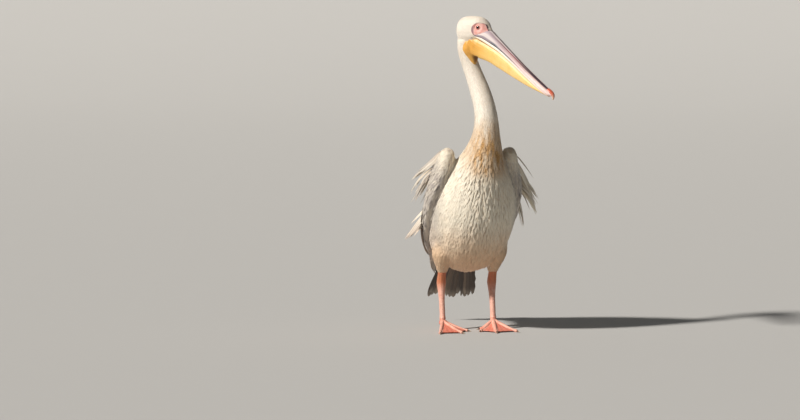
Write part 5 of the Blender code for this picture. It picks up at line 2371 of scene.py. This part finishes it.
@dataclass(frozen=True)
class Leg:
    """One bare leg: shank, toes and web as a single scaled skin, and four claws.

    Toes give their angle outward from straight ahead and their length.
    """

    side: Side
    voxel: float = 0.0013
    ankle_back: float = 0.050
    toes: tuple = ((-80, 0.050), (-40, 0.094), (-7, 0.122), (31, 0.120))
    inward_turn: float = 0.0
    scale_pitch: float = 0.0036
    plate_pitch: float = 0.0034
    knee: tuple = (0.0585, 0.172)  # how far back and up
    knee_sizes: tuple = (0.0122, 0.0140, 0.018)
    ankle_sizes: tuple = (0.0098, 0.0112, 0.0170)
    sole: float = 0.0012  # the height under which the foot stays flat
    scale_height: float = 0.00042
    plate_height: float = 0.00045
    claw_radius: float = 0.0030

    def build(self, finish: Material, horn: Material) -> None:
        """Makes the leg and its claws.

        Args:
            finish: The material of the skin.
            horn: That of the claws.
        """
        word = self.side.word
        knee = Vector((self.side * ANATOMY.leg_out, *self.knee)) + ANATOMY.shift()
        shank = node_shell(f"shank_{word}")
        ankle = shank.points[shank.points[:, 2] < shank.points[:, 2].min() + 0.002].mean(0)
        parts = [shank, node_shell(f"foot_{word}"), ball(knee, self.knee_sizes)]
        parts.append(ball(Vector(ankle), self.ankle_sizes))
        shell = melted(parts, self.voxel)
        shell.relax(9, np.where(shell.points[:, 2] < self.sole, 0.0, 1.0))
        shell.relax(30, hump(shell.points[:, 2], 0.042, 0.020))
        self.scale(shell)
        finished(shell, f"leg_{word}", finish, [f"shank_{word}", f"foot_{word}"])
        self.claws(horn)

    def toe_lines(self) -> list[tuple[Array, Array]]:
        """The foot's middle and each toe's end, level with the floor.

        Returns:
            The two points of each toe's line.
        """
        root = np.array(ANATOMY.shift()) + (self.side * ANATOMY.leg_out, self.ankle_back, 0)
        lines = []
        for angle, length in self.toes:
            lean = math.radians(angle - self.inward_turn)
            lines.append((root, root + (self.side * length * math.sin(lean), -length * math.cos(lean), 0)))
        return lines

    def scale(self, shell: Shell) -> None:
        """Raises the scales, the toes' cross plates and the web's folds, and notes where each point lies.

        Args:
            shell: The leg, which is changed.
        """
        points, normals = shell.points, shell.normals()
        height = points[:, 2]
        nearest, reach = np.full(len(points), 9.0), np.zeros(len(points))
        for root, end in self.toe_lines():
            way = end - root
            share = np.clip(((points - root) * np.array([1, 1, 0])) @ way / (way @ way), 0, 1)
            apart = np.linalg.norm((points - root - share[:, None] * way)[:, :2], axis=1)
            reach = np.where(apart < nearest, share * np.linalg.norm(way), reach)
            nearest = np.minimum(nearest, apart)
        web = ease(nearest, 0.0060, 0.0095) * ease(height, 0.05, 0.03)
        on_toe = ease(nearest, 0.0062, 0.0035) * ease(height, 0.045, 0.03) * ease(normals[:, 2], 0.2, 0.6)
        plates = np.abs(np.sin(reach * math.pi / self.plate_pitch)) ** 0.5
        wall = ease(cells(points, self.scale_pitch, 61), 0.0, 0.22)
        fine = ease(cells(points, 0.0023, 62), 0.0, 0.25)
        lift = self.scale_height * wall * (1 - web) * (1 - on_toe)
        lift = lift + self.plate_height * plates * on_toe + 0.00014 * fine * web
        root = self.toe_lines()[0][0]
        around = np.arctan2(points[:, 1] - root[1], points[:, 0] - root[0])
        folds = np.sin(around * 34 + 2.0 * ripple(points, 0.05, 63)) * 0.0004 * web
        clear = ease(height, 0.0006, 0.0030)
        lift = lift + 0.0016 * ease(height, 0.050, 0.075)
        shell.points = points + normals * ((lift + folds) * clear)[:, None]
        seam = (1 - wall) * (1 - web) * (1 - on_toe) + (1 - plates) * on_toe + 0.35 * (1 - fine) * web
        shell.carried["leg"] = np.stack([height, web, np.clip(seam, 0, 1)], 1)

    def claws(self, horn: Material) -> None:
        """Four short curved claws in the places of the solid ones.

        Args:
            horn: Their material.
        """
        shells = []
        names = [f"claw_{self.side.word}_{number}" for number in range(1, 5)]
        for name, (root, end) in zip(names, self.toe_lines()):
            low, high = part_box(name)
            way = unit((end - root)[None])[0]
            middle = np.array((low + high) / 2)
            half = 0.5 * abs(np.dot(np.array(high - low) * np.sign(way), way))
            share = np.linspace(0, 1, 22)
            top, floor = high.z - 0.0031, low.z + 0.0006
            line = middle + way * ((2 * share - 1) * half * 1.02)[:, None]
            line[:, 2] = top + (floor - top) * share**1.7
            line[0] = line[0] - way * 0.003
            heading = unit(np.gradient(line, axis=0))
            side = unit(np.cross(heading, np.array([0, 0, 1.0])))
            spin = loop(20)
            radius = self.claw_radius * (1 - 0.88 * share**1.3)[:, None]
            rise = radius * np.sin(spin) * (1 + 0.15 * (np.sin(spin) > 0))
            rings = swept(line, side, np.cross(side, heading), radius * 0.82 * np.cos(spin), rise)
            shells.append(horned(rings, share, np.cos(spin), np.sin(spin)))
        whole = joined(shells)
        whole.carried["horn"] = np.concatenate([shell.carried["horn"] for shell in shells])
        whole.points[:, 2] = np.maximum(whole.points[:, 2], 0.0002)
        finished(whole, f"claws_{self.side.word}", horn, names)


# ---- Studio.


@dataclass(frozen=True)
class Studio:
    """A pale floor, a warm key light at the camera's left, a cool broad fill and the camera.

    The camera stands level with the body's middle at some distance, as a long lens sees a bird on a bank.
    """

    aim: Vector = field(default_factory=lambda: Vector((-0.019, 0.087, 0.0)))
    azimuth: float = -11.0
    elevation: float = 4.5
    distance: float = 14.0
    metres_across: float = 2.76  # how much of the scene the frame's width takes in
    sensor: float = 36.0
    aside: float = -0.2339  # how far the camera's aim lies from the bird's middle, to the right and up
    above: float = 0.4137
    far: float = 200.0  # how far the camera sees
    sky: float = 0.072  # how strongly the whole sky shines

    def build(self) -> None:
        """Makes the floor, the lights and the camera."""
        self.floor()
        data = bpy.data.cameras.new("camera")
        data.sensor_width = self.sensor
        data.lens = self.sensor * self.distance / self.metres_across
        data.clip_end = self.far
        camera = shown("camera", data)
        facing = turn(self.azimuth, "Z") @ turn(90 - self.elevation, "X")
        place = self.aim + facing @ Vector((self.aside, self.above, self.distance))
        camera.matrix_world = Matrix.Translation(place) @ facing
        bpy.context.scene.camera = camera
        self.light("key", -57.0, 38.0, 4.5, 5.0, "FFF9F2")
        self.light("fill", 30.0, 30.0, 0.04, 60.0, "E4EAF6")
        world = bpy.data.worlds.new("sky")
        world.use_nodes = True
        background = world.node_tree.nodes["Background"]
        background.inputs["Color"].default_value = colour("DCE2EA")
        background.inputs["Strength"].default_value = self.sky
        bpy.context.scene.world = world
        bpy.context.scene.view_settings.view_transform = "Standard"

    def light(
        self, name: str, around: float, raised: float, strength: float, width: float, tone: str
    ) -> None:
        """Adds a far light that faces the bird.

        Args:
            name: Its name.
            around: Degrees round from the camera, to the right.
            raised: Degrees over the floor.
            strength: Watts on a square metre.
            width: How wide it looks from the bird, in degrees; a wider one is softer.
            tone: Its colour as an sRGB hex code.
        """
        lift = math.radians(raised)
        ray = turn(self.azimuth + around, "Z") @ Vector((0, -math.cos(lift), math.sin(lift)))
        data = bpy.data.lights.new(name, "SUN")
        data.angle = math.radians(width)
        data.energy = strength
        data.color = colour(tone)[:3]
        lamp = shown(name, data)
        lamp.location = Vector((0, 0, 0.55)) + ray * 5.0
        lamp.rotation_euler = ray.to_track_quat("Z", "Y").to_euler()

    def floor(self) -> None:
        """A wide pale floor that curves up far behind the bird."""
        depth = np.array([-30.0, 0.0, 12.0, 14.0, 16.0, 18.0, 19.5, 20.4, 20.8, 21.0, 21.0])
        height = np.array([0.0, 0.0, 0.0, 0.10, 0.45, 1.2, 2.4, 4.2, 6.5, 10.0, 22.0])
        out = np.linspace(-40, 40, 9)
        rows = np.stack(np.broadcast_arrays(out, depth[:, None], height[:, None]), -1).reshape(-1, 3)
        numbers = np.arange(len(rows)).reshape(len(depth), len(out))
        corners = (numbers[:-1, :-1], numbers[:-1, 1:], numbers[1:, 1:], numbers[1:, :-1])
        faces = np.stack(corners, -1).reshape(-1, 4)
        made = Shell(placed(rows, turn(self.azimuth, "Z")), [faces]).made("floor")
        made.data.materials.append(Paper().material())


def main() -> None:
    """Builds the bird piece by piece, then the studio."""
    logging.basicConfig(level=logging.INFO, format="%(name)s: %(message)s")
    skin = Skin()
    skin.build()
    pouch = Pouch().build()
    Bill().build()
    Eyes().build()
    feathers = Plumage("plumage").material()
    quills = Plumage("quills", roughness=0.5, relief=0.15, barbs=50.0, worn=0.5).material()
    coat = Coat(skin, pouch)
    coat.body(feathers)
    for side in Side:
        WingFeathers(coat, side).build(feathers, quills)
    Tail(coat).build(quills)
    leg_skin = LegSkin().material()
    claw_horn = HookHorn("claw_horn", "6B5548", "C9B49A", 0.4).material()
    for side in Side:
        Leg(side, inward_turn=15.0 if side is Side.RIGHT else 0.0).build(leg_skin, claw_horn)
    Studio().build()


if __name__ == "__main__":
    main()
